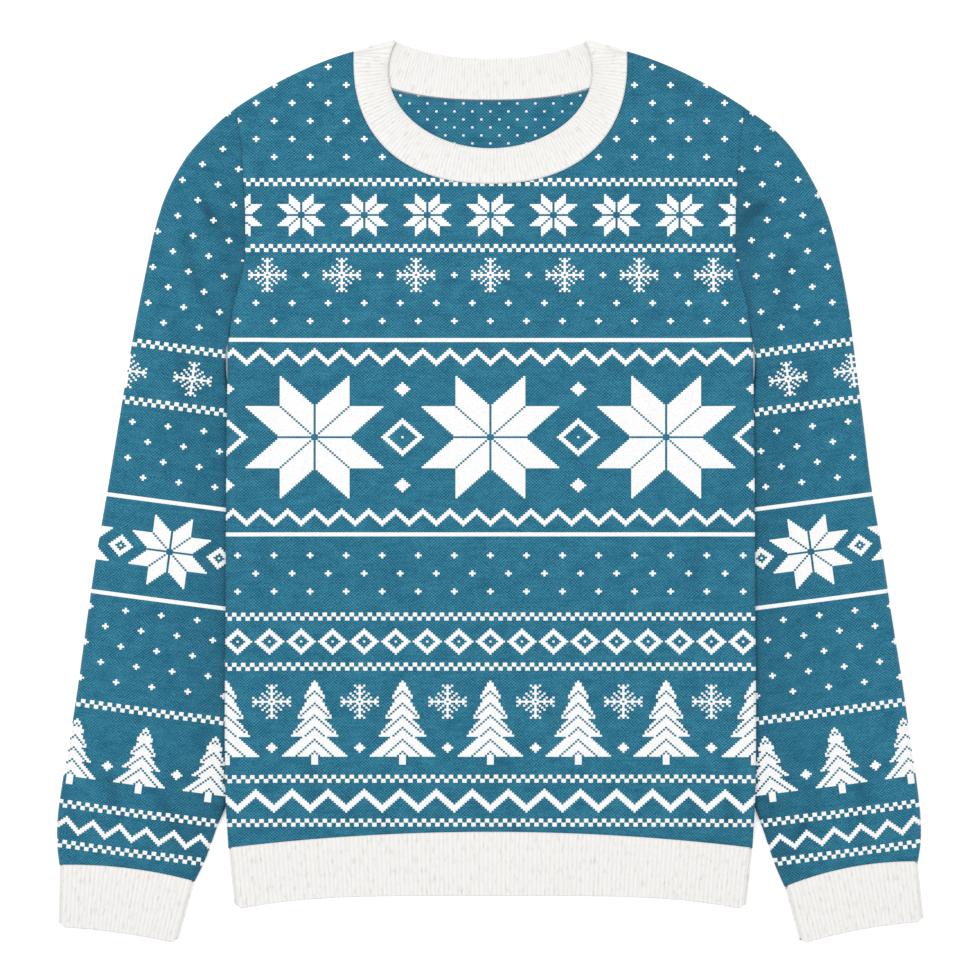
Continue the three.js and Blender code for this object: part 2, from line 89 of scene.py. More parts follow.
# Sections of a sleeve from the armhole down to the cuff: the outer edge's and the inner edge's place,
# the share of the armhole's curve and of its height, the puff, and the bow at the wrist
SLEEVE_LEFT = (
    (-203.57, 306.9, -209.77, 118, 1, 1, 0, 0),
    (-221.5, 291.7, -211.2, 113.5, 0.8, 0.8, 0.6, 0),
    (-242.3, 268.3, -211.4, 108, 0.55, 0.5, 1.1, 0),
    (-257.5, 242, -211.5, 102, 0.35, 0.25, 1.5, 0),
    (-267.5, 213.1, -211.3, 95, 0.2, 0.08, 1.8, 0),
    (-275.3, 178, -210.2, 86, 0.1, 0, 2, 0),
    (-283, 139.5, -206, 72, 0, 0, 2, 0),
    (-290, 100, -200.5, 50, 0, 0, 2, 0),
    (-297.3, 55.5, -197, 20, 0, 0, 2, 0),
    (-305.5, 6, -195, -22, 0, 0, 2, 0),
    (-314.8, -48, -194, -70, 0, 0, 2, 0),
    (-322.3, -98.9, -194, -121, 0, 0, 2, 0),
    (-329.5, -152, -196, -174, 0, 0, 2.2, 0),
    (-336.7, -199, -201, -218, 0, 0, 2.6, 0),
    (-342, -230, -208, -243, 0, 0, 2.9, 0),
    (-346, -258, -218.5, -268, 0, 0, 3, 1),
    (-346.7, -281, -227.5, -293, 0, 0, 2.2, 2.5),
    (-344.9, -299, -236.6, -312.1, 0, 0, 0.3, 4),
)
SLEEVE_RIGHT = (
    (203.57, 306.9, 209.77, 118, 1, 1, 0, 0),
    (224.7, 291.8, 211.2, 113.5, 0.8, 0.8, 0.6, 0),
    (242.1, 273.1, 211.4, 108, 0.55, 0.5, 1.1, 0),
    (259.5, 245, 211.5, 102, 0.35, 0.25, 1.5, 0),
    (271, 218, 211.3, 95, 0.2, 0.08, 1.8, 0),
    (280.3, 181, 210.2, 86, 0.1, 0, 2, 0),
    (287.2, 143.1, 206, 72, 0, 0, 2, 0),
    (292.5, 101, 200.5, 50, 0, 0, 2, 0),
    (298.4, 55.5, 197, 20, 0, 0, 2, 0),
    (304.5, 6, 195, -20, 0, 0, 2, 0),
    (313.5, -48, 194, -70, 0, 0, 2, 0),
    (321, -99, 194, -121, 0, 0, 2, 0),
    (329.5, -152, 196, -174, 0, 0, 2.2, 0),
    (336.2, -199, 201, -218, 0, 0, 2.6, 0),
    (340.8, -230, 208, -243, 0, 0, 2.9, 0),
    (344, -258, 218, -270, 0, 0, 3, 1.5),
    (344.4, -279, 227, -297, 0, 0, 2.2, 3.5),
    (342.1, -296.2, 235.4, -316.4, 0, 0, 0.3, 5.5),
)
# Rows of a cuff from the sleeve down to the free edge: the outer and the inner edge's place and the bow
CUFF_LEFT = (
    (-344.9, -299.4, -236.6, -312.5, 4),
    (-346, -344.5, -248.8, -356.5, 2.4),
    (-343.6, -348.6, -252, -361.3, 2.2),
)
CUFF_RIGHT = (
    (342.1, -296.6, 235.4, -316.8, 5.5),
    (346.7, -340.5, 246.6, -357.6, 3.2),
    (344.4, -344.6, 250.4, -361.8, 3),
)

# Soft creases, listed one by one: x, y, turn in degrees from the X axis, length, width, height, bow.
# A height above 0 is a ridge and one below 0 a trough, which on the panels and sleeves also gets painted
# shade.
FOLDS = (
    (-127, -248, 96, 34, 15, 1.6, 0),
    (178, -250, 84, 36, 15, 1.6, 0),
    (-228, 252, -52, 34, 15, 1.8, 0),
    (229, 248, 56, 34, 15, 1.8, 0),
)
FRONT_CREASES = (
    (-140, -236, 100, 26, 7, -0.7, 2),
    (-113, -252, 92, 22, 6, -0.6, -1),
    (191, -252, 80, 26, 6, -0.7, 2),
    (164, -258, 86, 18, 6, -0.5, 0),
    (-12, -214, 60, 26, 9, 0.7, 3),
    (4, -224, 64, 22, 6, -0.5, 2),
    (162, -24, 68, 58, 11, 0.9, -6),
    (174, -34, 66, 48, 7, -0.6, -5),
    (-168, 96, 118, 44, 9, 0.6, 5),
    (-158, 62, 112, 34, 7, -0.4, 4),
    (-84, -266, 94, 12, 5, -0.45, 0),
    (-40, -262, 92, 13, 4, -0.4, 1),
    (-8, -258, 88, 16, 5, -0.5, 0),
    (20, -264, 90, 10, 4, -0.35, 0),
    (56, -264, 86, 12, 5, -0.45, -1),
    (70, -262, 88, 16, 6, 0.5, 0),
    (120, -266, 84, 11, 5, -0.4, 0),
    (152, 322, -27, 48, 12, -0.35, 0),
    (-178, 196, 74, 38, 8, 0.8, 4),
    (-184, 236, 86, 26, 6, -0.5, 3),
    (180, 190, 108, 40, 8, 0.8, -4),
    (184, 232, 96, 26, 6, -0.5, -3),
    (96, 222, 38, 34, 9, 0.6, 4),
    (-104, 230, -42, 30, 8, 0.5, -4),
)
BACK_CREASES = (
    (-96, -238, 93, 30, 8, 0.8, 2),
    (-84, -244, 90, 24, 6, 0.6, 0),
    (132, -246, 86, 28, 8, 0.8, -2),
    (20, -160, 118, 44, 9, 0.7, 5),
    (-150, 30, 72, 52, 10, 0.8, -5),
    (158, 74, 104, 46, 9, 0.8, 5),
    (-58, 176, 40, 36, 9, 0.6, 4),
    (88, 190, -34, 34, 8, 0.6, -4),
    (-12, 20, 84, 60, 12, 0.5, 6),
)
LEFT_SLEEVE_CREASES = (
    (-225, 221, -62, 15, 4, -1.5, 1.5),
    (-236, 238, -50, 20, 6, 0.5, -2),
    (-250, 200, -66, 34, 8, 0.9, 4),
    (-238, 176, -72, 36, 6, -0.8, 4),
    (-232, 120, -80, 44, 8, 0.8, -4),
    (-246, 96, -84, 38, 6, -0.7, -3),
    (-270, 20, -78, 56, 10, 0.7, 5),
    (-236, -30, -84, 48, 8, 0.6, 4),
    (-300, -120, -80, 52, 9, 0.6, -4),
    (-262, -170, -70, 40, 8, 0.8, 4),
    (-318, -226, -76, 30, 7, 0.9, 2),
    (-300, -246, -80, 26, 6, -0.8, 0),
    (-276, -258, -74, 24, 6, 0.9, -2),
    (-256, -262, -66, 22, 5, -0.8, 1),
    (-334, -262, -86, 20, 5, -0.6, 0),
)
RIGHT_SLEEVE_CREASES = (
    (211, 224, 42, 14, 5, -1.7, -2.5),
    (232, 238, 52, 20, 6, 0.5, 2),
    (250, 196, 68, 34, 8, 0.9, -4),
    (236, 170, 74, 36, 6, -0.8, -4),
    (228, 112, 82, 44, 8, 0.8, 4),
    (252, 84, 80, 40, 6, -0.6, 3),
    (264, 10, 80, 56, 10, 0.7, -5),
    (290, -64, 84, 46, 8, 0.6, 4),
    (246, -128, 76, 46, 9, 0.7, -4),
    (304, -176, 80, 40, 8, 0.7, 4),
    (316, -234, 78, 28, 7, 0.9, -2),
    (296, -250, 82, 26, 6, -0.8, 0),
    (272, -262, 72, 24, 6, 0.9, 2),
    (250, -268, 66, 20, 5, -0.8, -1),
)
UNDERSIDE_OF_SLEEVE = 0.8  # share of a sleeve's creases on the side that lies on the floor


def smooth(value: Array, low: float, high: float) -> Array:
    """Rise from 0 at low to 1 at high as 3t squared less 2t cubed."""
    t = np.clip((value - low) / (high - low), 0.0, 1.0)
    return t * t * (3.0 - 2.0 * t)


def through(knots: Array, x: Array) -> Array:
    """Read a cubic through (x, y) knots, with each knot's slope from its neighbours.

    Args:
        knots: Rows of x and y, in order of x.
        x: Places to read, held within the knots.

    Returns:
        The heights there.
    """
    at_x, at_y = knots[:, 0], knots[:, 1]
    slope = np.gradient(at_y, at_x)
    x = np.clip(x, at_x[0], at_x[-1])
    i = np.clip(np.searchsorted(at_x, x, side="right") - 1, 0, len(at_x) - 2)
    width = at_x[i + 1] - at_x[i]
    t = (x - at_x[i]) / width
    ends = (1 + 2 * t) * (1 - t) ** 2 * at_y[i] + t * t * (3 - 2 * t) * at_y[i + 1]
    return ends + width * (t * (1 - t) ** 2 * slope[i] - t * t * (1 - t) * slope[i + 1])


def rows_at(table: Array, share: Array) -> Array:
    """Read a table's rows as one Catmull-Rom curve, at shares of its length from 0 to 1."""
    place = np.clip(share, 0.0, 1.0) * (len(table) - 1)
    at = np.minimum(place.astype(int), len(table) - 2)
    t = (place - at)[..., None]
    a, b, c, d = (table[np.clip(at + k, 0, len(table) - 1)] for k in (-1, 0, 1, 2))
    slope_in, slope_out, rise = (c - a) / 2, (d - b) / 2, c - b
    bend, twist = 3 * rise - 2 * slope_in - slope_out, slope_in + slope_out - 2 * rise
    return b + t * (slope_in + t * (bend + t * twist))


def half_width(y: Array) -> Array:
    """Half the body's width at a height, along the side below the underarm and the armhole above."""
    return np.where(np.asarray(y) < UNDERARM, through(SIDE, y), through(ARMHOLE, y))


def hem_seam(x: Array) -> Array:
    """Height of the hem seam, which drops from the centre to the sides with the square of x."""
    return -272.7 - 12.8 * (np.asarray(x) / HEM_HALF) ** 2


def lift_at(x: Array, y: Array) -> Array:
    """How far the sleeve below lifts the side of the body: all of it at the edge, none 49 mm in."""
    up = (1 - smooth(y, 118, 190)) * smooth(y, -285, -250)
    return (LAYERS + SEAM) * up * (1 - smooth(half_width(y) - np.abs(x), 20, 49))


def air_at(x: Array, y: Array) -> Array:
    """How far the front stands off the back: none along the edges, 2 mm in the middle."""
    up = (1 - smooth(y, 90, 238)) * smooth(y, -285, -190)
    return 2.0 * up * smooth(half_width(y) - np.abs(x), 0, 110)


def crease_height(creases: tuple, x: Array, y: Array) -> Array:
    """Sum of soft creases, each a bell along its length and across its bowed middle line.

    Args:
        creases: Rows of x, y, turn, length, width, height and bow.
        x: Places to read.
        y: Places to read.

    Returns:
        The height over the plain cloth.
    """
    cx, cy, turn, length, width, height, bow = np.array(creases, float).reshape(-1, 7).T[..., None]
    angle = np.radians(turn)
    along = ((x - cx) * np.cos(angle) + (y - cy) * np.sin(angle)) / length
    across = (y - cy) * np.cos(angle) - (x - cx) * np.sin(angle) - bow * along**2
    return (height * np.exp(-(along**2) - (across / width) ** 2)).sum(0)


def trough_shade(creases: tuple, x: Array, y: Array) -> Array:
    """How deep the shade painted into the cloth's colour is in its troughs: 0.6 for each millimetre of their
    depth.
    """
    return -0.6 * crease_height(tuple(row for row in creases if row[5] < 0), x, y)


def beside_body(x: Array, y: Array) -> Array:
    """How deep the shade painted into a sleeve's colour is beside the body, where both layers turn down.

    It fades over 45 mm from the body's side and is deepest in the last few millimetres. It is weaker
    above the underarm, apart from a strip along the armhole and the underarm's own corner.
    """
    off = np.maximum(np.abs(x) - half_width(y), 0)
    strength = 0.3 + 0.7 * (1 - smooth(y, 40, 150)) + 0.9 * (1 - smooth(y, -290, -180))
    broad = strength * (0.3 * np.exp(-((off / 45) ** 2)) + 0.25 * np.exp(-off / 4))
    strip = 0.45 * np.exp(-(((y - 205) / 48) ** 2) - (off / 22) ** 2)
    corner = 0.6 * np.exp(-(((y - 150) / 22) ** 2) - off / 4)
    return broad + strip + corner


def handling(x: Array, y: Array, seed: int) -> Array:
    """Faint unevenness of soft cloth: five slow waves, each 40 to 110 mm long and 0.1 mm high."""
    rng = np.random.default_rng(seed)
    turn, length, phase = rng.uniform(0, np.pi, 5), rng.uniform(40, 110, 5), rng.uniform(0, 6.3, 5)
    way = np.cos(turn)[:, None] * x + np.sin(turn)[:, None] * y
    return 0.1 * np.sin(2 * np.pi * way / length[:, None] + phase[:, None]).sum(0)


def rounded(distance: Array, radius: float, depth: float) -> Array:
    """Drop of a rounded edge: depth at the edge, along a quarter ellipse to 0 at the radius."""
    t = 1 - np.clip(distance / radius, 0.0, 1.0)
    return depth * (1 - np.sqrt(1 - t * t))


def bridge(low: Array, high: Array, low_at: Array, high_at: Array) -> Array:
    """Join two closed loops, however many points each has, always taking the nearer next point.

    Args:
        low: Vertex numbers of one loop.
        high: Vertex numbers of the other.
        low_at: Place of each along the way round, ascending.
        high_at: The same for the other loop.

    Returns:
        Triangles that walk the first loop forwards and the second backwards.
    """
    beside_low = np.searchsorted(high_at, low_at, side="left") - 1
    beside_high = np.searchsorted(low_at, high_at, side="right") - 1
    first = np.stack([np.roll(low, 1), low, high[beside_low]], 1)
    second = np.stack([np.roll(high, 1), low[beside_high], high], 1)
    return np.concatenate([first, second])


@dataclass(frozen=True)
class Outline:
    """A closed line round a flat piece, anticlockwise, with the points that stay sharp."""

    points: Array
    corners: tuple[int, ...]

    @property
    def marks(self) -> Array:
        """Length of the way round up to each point, and up to the first one again."""
        step = np.roll(self.points, -1, 0) - self.points
        return np.concatenate([[0.0], np.cumsum(np.hypot(*step.T))])

    def at(self, length: Array) -> Array:
        """Read the line at lengths of the way round."""
        loop = np.vstack([self.points, self.points[:1]])
        marks = self.marks
        wanted = length % marks[-1]
        return np.stack([np.interp(wanted, marks, loop[:, k]) for k in (0, 1)], 1)

    def nearest(self, places: Array) -> Array:
        """Length of the way round of the line's nearest point to each place."""
        start, marks = self.points, self.marks
        step = np.roll(start, -1, 0) - start
        reach = (step**2).sum(1)
        rel = places[:, None, :] - start[None]
        share = np.clip((rel * step).sum(2) / reach, 0.0, 1.0)
        gap = ((rel - share[..., None] * step) ** 2).sum(2)
        best = gap.argmin(1)
        picked = np.arange(len(places))
        return (marks[best] + share[picked, best] * np.sqrt(reach[best])) % marks[-1]

    def area(self) -> float:
        """Area inside the line."""
        x, y = self.points.T
        return 0.5 * float((x * np.roll(y, -1) - y * np.roll(x, -1)).sum())


@dataclass
class Cut:
    """A lattice of stitches cut to an outline."""

    xy: Array  # places of the lattice's corners
    faces: Array  # one face for each stitch
    cells: Array  # column and row of each stitch
    knots: Array  # column and row of each lattice corner
    rim: Array  # corners along the outline, in order
    rim_at: Array  # their lengths of the way round, ascending


@dataclass(frozen=True)
class Gauge:
    """The knit's lattice: where its first stitch is and how far it is turned."""

    origin: tuple[float, float] = (-STITCH_WIDE / 2, -285.5)
    turn: float = 0.0

    def stitches(self, xy: Array) -> Array:
        """Turn places into columns and rows of stitches."""
        c, s = np.cos(np.radians(self.turn)), np.sin(np.radians(self.turn))
        x, y = (xy - np.array(self.origin)).T
        return np.stack([(c * x + s * y) / STITCH_WIDE, (c * y - s * x) / STITCH_HIGH], 1)

    def places(self, stitches: Array) -> Array:
        """Turn columns and rows of stitches into places."""
        c, s = np.cos(np.radians(self.turn)), np.sin(np.radians(self.turn))
        x, y = (stitches * np.array([STITCH_WIDE, STITCH_HIGH])).T
        return np.stack([c * x - s * y, s * x + c * y], 1) + np.array(self.origin)

    def cut(self, outline: Outline) -> Cut:
        """Keep the stitches whose middle is inside the outline, and pull their rim onto it.

        Along each row of stitches, every crossing of the outline turns inside to outside. The rim's
        corners move to the outline's nearest points, evened out so that no two meet.

        Args:
            outline: The line to cut along.

        Returns:
            The lattice that is left.
        """
        edge = self.stitches(outline.points)
        low = np.floor(edge.min(0)).astype(int) - 2
        columns, rows = np.ceil(edge.max(0)).astype(int) + 2 - low
        after = np.roll(edge, -1, 0)
        level = (np.arange(rows) + low[1] + 0.5)[:, None]
        row, part = np.nonzero((edge[:, 1] <= level) != (after[:, 1] <= level))
        share = (level[row, 0] - edge[part, 1]) / (after[part, 1] - edge[part, 1])
        across = edge[part, 0] + share * (after[part, 0] - edge[part, 0])
        turns = np.zeros((rows, columns + 1), int)
        np.add.at(turns, (row, np.floor(across - low[0] - 0.5).astype(int) + 1), 1)
        inside = np.cumsum(turns, 1)[:, :columns] % 2 == 1
        around = ((1, 0), (-1, 0), (1, 1), (-1, 1))
        for _ in range(2):
            inside &= sum(np.roll(inside, way, axis).astype(int) for way, axis in around) >= 2
        used = np.zeros((rows + 1, columns + 1), bool)
        for r in (0, 1):
            for c in (0, 1):
                used[r : rows + r, c : columns + c] |= inside
        number = np.cumsum(used).reshape(used.shape) - 1
        r, c = np.nonzero(inside)
        faces = np.stack([number[r, c], number[r, c + 1], number[r + 1, c + 1], number[r + 1, c]], 1)
        beside = [np.roll(inside, way, axis)[r, c] for way, axis in ((1, 0), (-1, 1), (-1, 0), (1, 1))]
        sides = [faces[~there][:, [k, (k + 1) % 4]] for k, there in enumerate(beside)]
        knots = np.argwhere(used)[:, ::-1] + low
        xy = self.places(knots.astype(float))
        rim, ends = np.unique(np.concatenate(sides), return_inverse=True)
        ends = ends.reshape(-1, 2)
        whole = outline.marks[-1]
        way = np.exp(2j * np.pi * outline.nearest(xy[rim]) / whole)
        for _ in range(2):
            middle = way[ends[:, 0]] + way[ends[:, 1]]
            middle /= np.abs(middle)
            way = np.bincount(ends.ravel(), np.repeat(middle.real, 2)) + 1j * np.bincount(
                ends.ravel(), np.repeat(middle.imag, 2)
            )
            way /= np.abs(way)
        rim_at = (np.angle(way) / (2 * np.pi) % 1.0) * whole
        for corner in outline.marks[list(outline.corners)]:
            off = np.abs(rim_at - corner)
            rim_at[np.minimum(off, whole - off).argmin()] = corner
        order = np.argsort(rim_at)
        xy[rim] = outline.at(rim_at)
        return Cut(xy, faces, np.stack([c, r], 1) + low, knots, rim[order], rim_at[order])


@dataclass
class Patch:
    """Faces with the same number of corners, with their corners' UVs in stitches and their yarn."""

    faces: Array
    uv: Array
    yarn: Array
    repeat: float = 0.0  # 1 where the small repeat is knitted instead of the chart
    # hollow is painted shade: how far each face's blue yarn is darkened
    hollow: Array | float = 0.0  # how deep in shade each face lies


def make_piece(
    name: str, points: Array, patches: list[Patch], material: bpy.types.Material
) -> bpy.types.Object:
    """Make a finished piece, a closed mesh with its place in its points.

    Args:
        name: The piece's name.
        points: Places in millimetres of the part's own frame.
        patches: Its faces.
        material: What it wears.

    Returns:
        The object, at the origin and linked to the scene.
    """
    low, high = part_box("front_panel")
    shift = np.array([(low[0] + high[0]) / 2, high[1] - NECK_POINT[1] * METRES, 0.0])
    counts = np.concatenate([np.full(len(p.faces), p.faces.shape[1]) for p in patches])
    corners = np.concatenate([p.faces.ravel() for p in patches]).astype(np.int32)
    mesh = bpy.data.meshes.new(name)
    mesh.vertices.add(len(points))
    mesh.vertices.foreach_set("co", (points * METRES + shift).ravel())
    mesh.loops.add(len(corners))
    mesh.polygons.add(len(counts))
    mesh.polygons.foreach_set("loop_start", np.concatenate([[0], np.cumsum(counts)[:-1]]).astype(np.int32))
    mesh.polygons.foreach_set("vertices", corners)
    mesh.polygons.foreach_set("use_smooth", np.ones(len(counts), bool))
    mesh.update(calc_edges=True)
    layer = mesh.uv_layers.new(name="stitches")
    layer.uv.foreach_set("vector", np.concatenate([p.uv.reshape(-1) for p in patches]).astype(np.float32))
    rng = np.random.default_rng(len(counts))
    values = {
        "yarn": np.concatenate([np.broadcast_to(p.yarn, len(p.faces)) for p in patches]),
        "repeat": np.concatenate([np.full(len(p.faces), p.repeat) for p in patches]),
        "hollow": np.concatenate([np.broadcast_to(p.hollow, len(p.faces)) for p in patches]),
        "tone": rng.uniform(-1, 1, len(counts)),
    }
    for key, value in values.items():
        mesh.attributes.new(key, "FLOAT", "FACE").data.foreach_set("value", value.astype(np.float32))
    mesh.materials.append(material)
    mesh.validate()
    piece = bpy.data.objects.new(name, mesh)
    bpy.context.scene.collection.objects.link(piece)
    return piece


def srgb(colour: str) -> tuple[float, float, float, float]:
    """Turn an sRGB hex colour into linear red, green, blue and an alpha of 1."""
    value = np.array([int(colour[i : i + 2], 16) for i in (1, 3, 5)]) / 255
    linear = np.where(value <= 0.04045, value / 12.92, ((value + 0.055) / 1.055) ** 2.4)
    return (*linear.tolist(), 1.0)


def add(
    tree: bpy.types.NodeTree, kind: str, inputs: dict | tuple = (), **settings: object
) -> bpy.types.Node:
    """Add a node with its settings, and set or link its inputs.

    Args:
        tree: The node tree.
        kind: The node's type, without its ShaderNode prefix.
        inputs: Values, outputs or nodes, in order or by name or number. A node gives its first output.
        settings: Values of the node's own properties.

    Returns:
        The node.
    """
    node = tree.nodes.new(f"ShaderNode{kind}")
    for key, value in settings.items():
        setattr(node, key, value)
    for key, value in inputs.items() if isinstance(inputs, dict) else enumerate(inputs):
        if isinstance(value, bpy.types.Node):
            value = next(output for output in value.outputs if output.enabled)
        if isinstance(value, bpy.types.NodeSocket):
            tree.links.new(value, node.inputs[key])
        else:
            node.inputs[key].default_value = value
    return node


@dataclass(frozen=True)
class KnitFinish:
    """Soft spun yarn knitted in plain stitches, matt, with a short haze of fibres.

    The stitches lie as small Vs 1.8 mm wide and 1.6 mm high. That gives the eye a fine slanted grain,
    now leaning one way and now the other, with painted shade where the loops pass behind each other, and a
    faint heather of paler and deeper lengths of yarn that run 8 to 20 mm along the rows.
    """

    name: str
    ground: str = "#206a85"
    ground_deep: str = "#104c66"
    ground_pale: str = "#3e88a0"
    # the deeper blue that the painted shade in troughs and beside the body mixes towards
    ground_painted_shade: str = "#08364b"
    second: str = "#f4f5f4"
    # colour of the greyer fibres, which is also the painted shade between the loops and on a rib's sides
    fleck_and_shade: str = "#dfe0df"
    roughness: float = 0.92
    sheen: float = 0.08
    depth_mm: float = 0.5
    hatch: float = 0.66  # slanted lines to one stitch: true to life would be 1, too fine to show
    ribbed: bool = False

    def material(self) -> bpy.types.Material:
        """Build the node material: V stitches, heather and two yarns on the piece's own UV map."""
        material = bpy.data.materials.new(self.name)
        material.use_nodes = True
        tree = material.node_tree
        tree.nodes.clear()
        uv = add(tree, "UVMap", uv_map="stitches")
        parts = add(tree, "SeparateXYZ", (uv,))
        wale, course = parts.outputs[0], parts.outputs[1]
        # Distance from the middle of the stitch to its side, and the leg that climbs away from it
        across = add(tree, "Math", (wale,), operation="FRACT")
        centred = add(tree, "Math", (across, 0.5), operation="SUBTRACT")
        away = add(tree, "Math", (centred,), operation="ABSOLUTE")
        behind = add(tree, "Math", (course, away), operation="SUBTRACT")
        climb = add(tree, "Math", (behind,), operation="FRACT")
        leg_turn = add(tree, "Math", (climb, np.pi), operation="MULTIPLY")
        leg = add(tree, "Math", (leg_turn,), operation="SINE")
        ply_turn = add(tree, "Math", (away, 2 * np.pi), operation="MULTIPLY")
        ply = add(tree, "Math", (ply_turn,), operation="SINE")
        round_leg = add(tree, "Math", (leg, ply), operation="MULTIPLY")
        held = add(tree, "Math", (round_leg, 0.0), operation="MAXIMUM")
        loop = add(tree, "Math", (held,), operation="SQRT")
        # Slanted lines of loops that cross into a small checker, drawn coarser than they are so that
        # they show, and broken by each stitch's own tone. Soft fields about 8 stitches wide choose
        # which way they lean more, how clear they are and how deep the dye is
        wide = add(tree, "Mapping", {0: uv, "Scale": (0.12, 0.14, 1.0)})
        fields = add(tree, "TexNoise", {"Vector": wide, "Scale": 1.0, "Detail": 2.0})
        field_of = add(tree, "SeparateXYZ", (fields.outputs["Color"],)).outputs
        tone = add(tree, "Attribute", attribute_name="tone").outputs["Fac"]
        slants = []
        for operation in ("ADD", "SUBTRACT"):
            slant = add(tree, "Math", (wale, course), operation=operation)
            turn = add(tree, "Math", (slant, 2 * np.pi * self.hatch, tone), operation="MULTIPLY_ADD")
            slants.append(add(tree, "Math", (turn,), operation="SINE"))
        lean = add(tree, "MapRange", (field_of[0], 0.3, 0.7, 0.25, 0.75))
        clear = add(tree, "MapRange", (field_of[1], 0.35, 0.65, 0.34, 0.7))
        grain = add(tree, "Mix", {0: lean, 2: slants[0], 3: slants[1]})
        grain = add(tree, "Math", (grain, clear), operation="MULTIPLY")
        # Lengths of yarn that took the dye differently, 10 stitches long and one row high
        along = add(tree, "Mapping", {0: uv, "Scale": (0.1, 0.85, 1.0)})
        heather = add(tree, "TexNoise", {"Vector": along, "Scale": 1.0, "Detail": 3.0})
        shade = add(tree, "Math", (heather, 0.6, -0.22), operation="MULTIPLY_ADD")
        shade = add(tree, "Math", (field_of[2], 0.6, shade), operation="MULTIPLY_ADD")
        shade = add(tree, "Math", (tone, 0.09, shade), operation="MULTIPLY_ADD")
        # Painted shade: the blue is paler on each loop's crest and deeper between the loops
        shade = add(tree, "Math", (loop, 0.25, shade), operation="MULTIPLY_ADD")
        shade = add(tree, "Math", (grain, shade), operation="ADD")
        ground = add(tree, "ValToRGB", (shade,))
        ramp = ground.color_ramp
        ramp.elements[0].position, ramp.elements[0].color = 0.0, srgb(self.ground_deep)
        ramp.elements[1].position, ramp.elements[1].color = 1.0, srgb(self.ground_pale)
        ramp.elements.new(0.5).color = srgb(self.ground)
        # Painted shade: the blue yarn is mixed towards a deeper blue in its troughs, beside the body and at
        # the turn of the sides
        hollow = add(tree, "Attribute", attribute_name="hollow").outputs["Fac"]
        painted_shade_share = add(tree, "Math", (hollow, 0.6), operation="MULTIPLY")
        ground = add(
            tree, "Mix", {0: painted_shade_share, 6: ground.outputs[0], 7: srgb(self.ground_painted_shade)}, data_type="RGBA"
        )
        # Undyed yarn: pale, with a few greyer fibres, which a rib draws out along its way
        fine = add(tree, "Mapping", {0: uv, "Scale": (0.9, 0.2 if self.ribbed else 0.7, 1.0)})
        specks = add(tree, "TexNoise", {"Vector": fine, "Scale": 1.0, "Detail": 2.0})
        speck = add(tree, "MapRange", (specks, 0.55, 0.8, 0.0, 0.8))
        # Painted shade between the loops mixes the pale yarn towards the fleck colour, as its real greyer
        # fibres do
        between = add(tree, "Math", (1.0, loop), operation="SUBTRACT")
        gap = add(tree, "Math", (between, 0.2, speck), operation="MULTIPLY_ADD")
        if self.ribbed:
            # The side of a rib is in shade of its neighbours' fibres
            flank_turn = add(tree, "Math", (wale, np.pi), operation="MULTIPLY")
            flank = add(tree, "Math", (flank_turn,), operation="COSINE")
            side = add(tree, "Math", (flank, 0.0), operation="MAXIMUM")
            gap = add(tree, "Math", (side, 0.26, gap), operation="MULTIPLY_ADD")
        pale = add(tree, "Mix", {0: gap, 6: srgb(self.second), 7: srgb(self.fleck_and_shade)}, data_type="RGBA")
        # The small repeat is one stitch in every 8 columns and 8 rows, and one between them
        spot = 0.0
        for offset in (0.0, 4.0):
            inside = []
            for place in (wale, course):
                moved = add(tree, "Math", (place, offset), operation="ADD")
                cycle = add(tree, "Math", (moved, 8.0), operation="FLOORED_MODULO")
                inside.append(add(tree, "Math", (cycle, 1.0), operation="LESS_THAN"))
            spot = add(tree, "Math", (*inside, spot), operation="MULTIPLY_ADD")
        repeat = add(tree, "Attribute", attribute_name="repeat").outputs["Fac"]
        spot = add(tree, "Math", (spot, repeat), operation="MULTIPLY")
        yarn = add(tree, "Attribute", attribute_name="yarn").outputs["Fac"]
        second = add(tree, "Math", (yarn, spot), operation="MAXIMUM")
        colour = add(tree, "Mix", {0: second, 6: ground, 7: pale}, data_type="RGBA")
        bump = add(tree, "Bump", {"Strength": 0.6, "Distance": self.depth_mm * METRES, "Height": loop})
        shader = add(
            tree,
            "BsdfPrincipled",
            {
                "Base Color": colour,
                "Roughness": self.roughness,
                "Sheen Weight": self.sheen,
                "Sheen Roughness": 0.5,
                "Specular IOR Level": 0.2,
                "Normal": bump,
            },
        )
        add(tree, "OutputMaterial", (shader,))
        return material


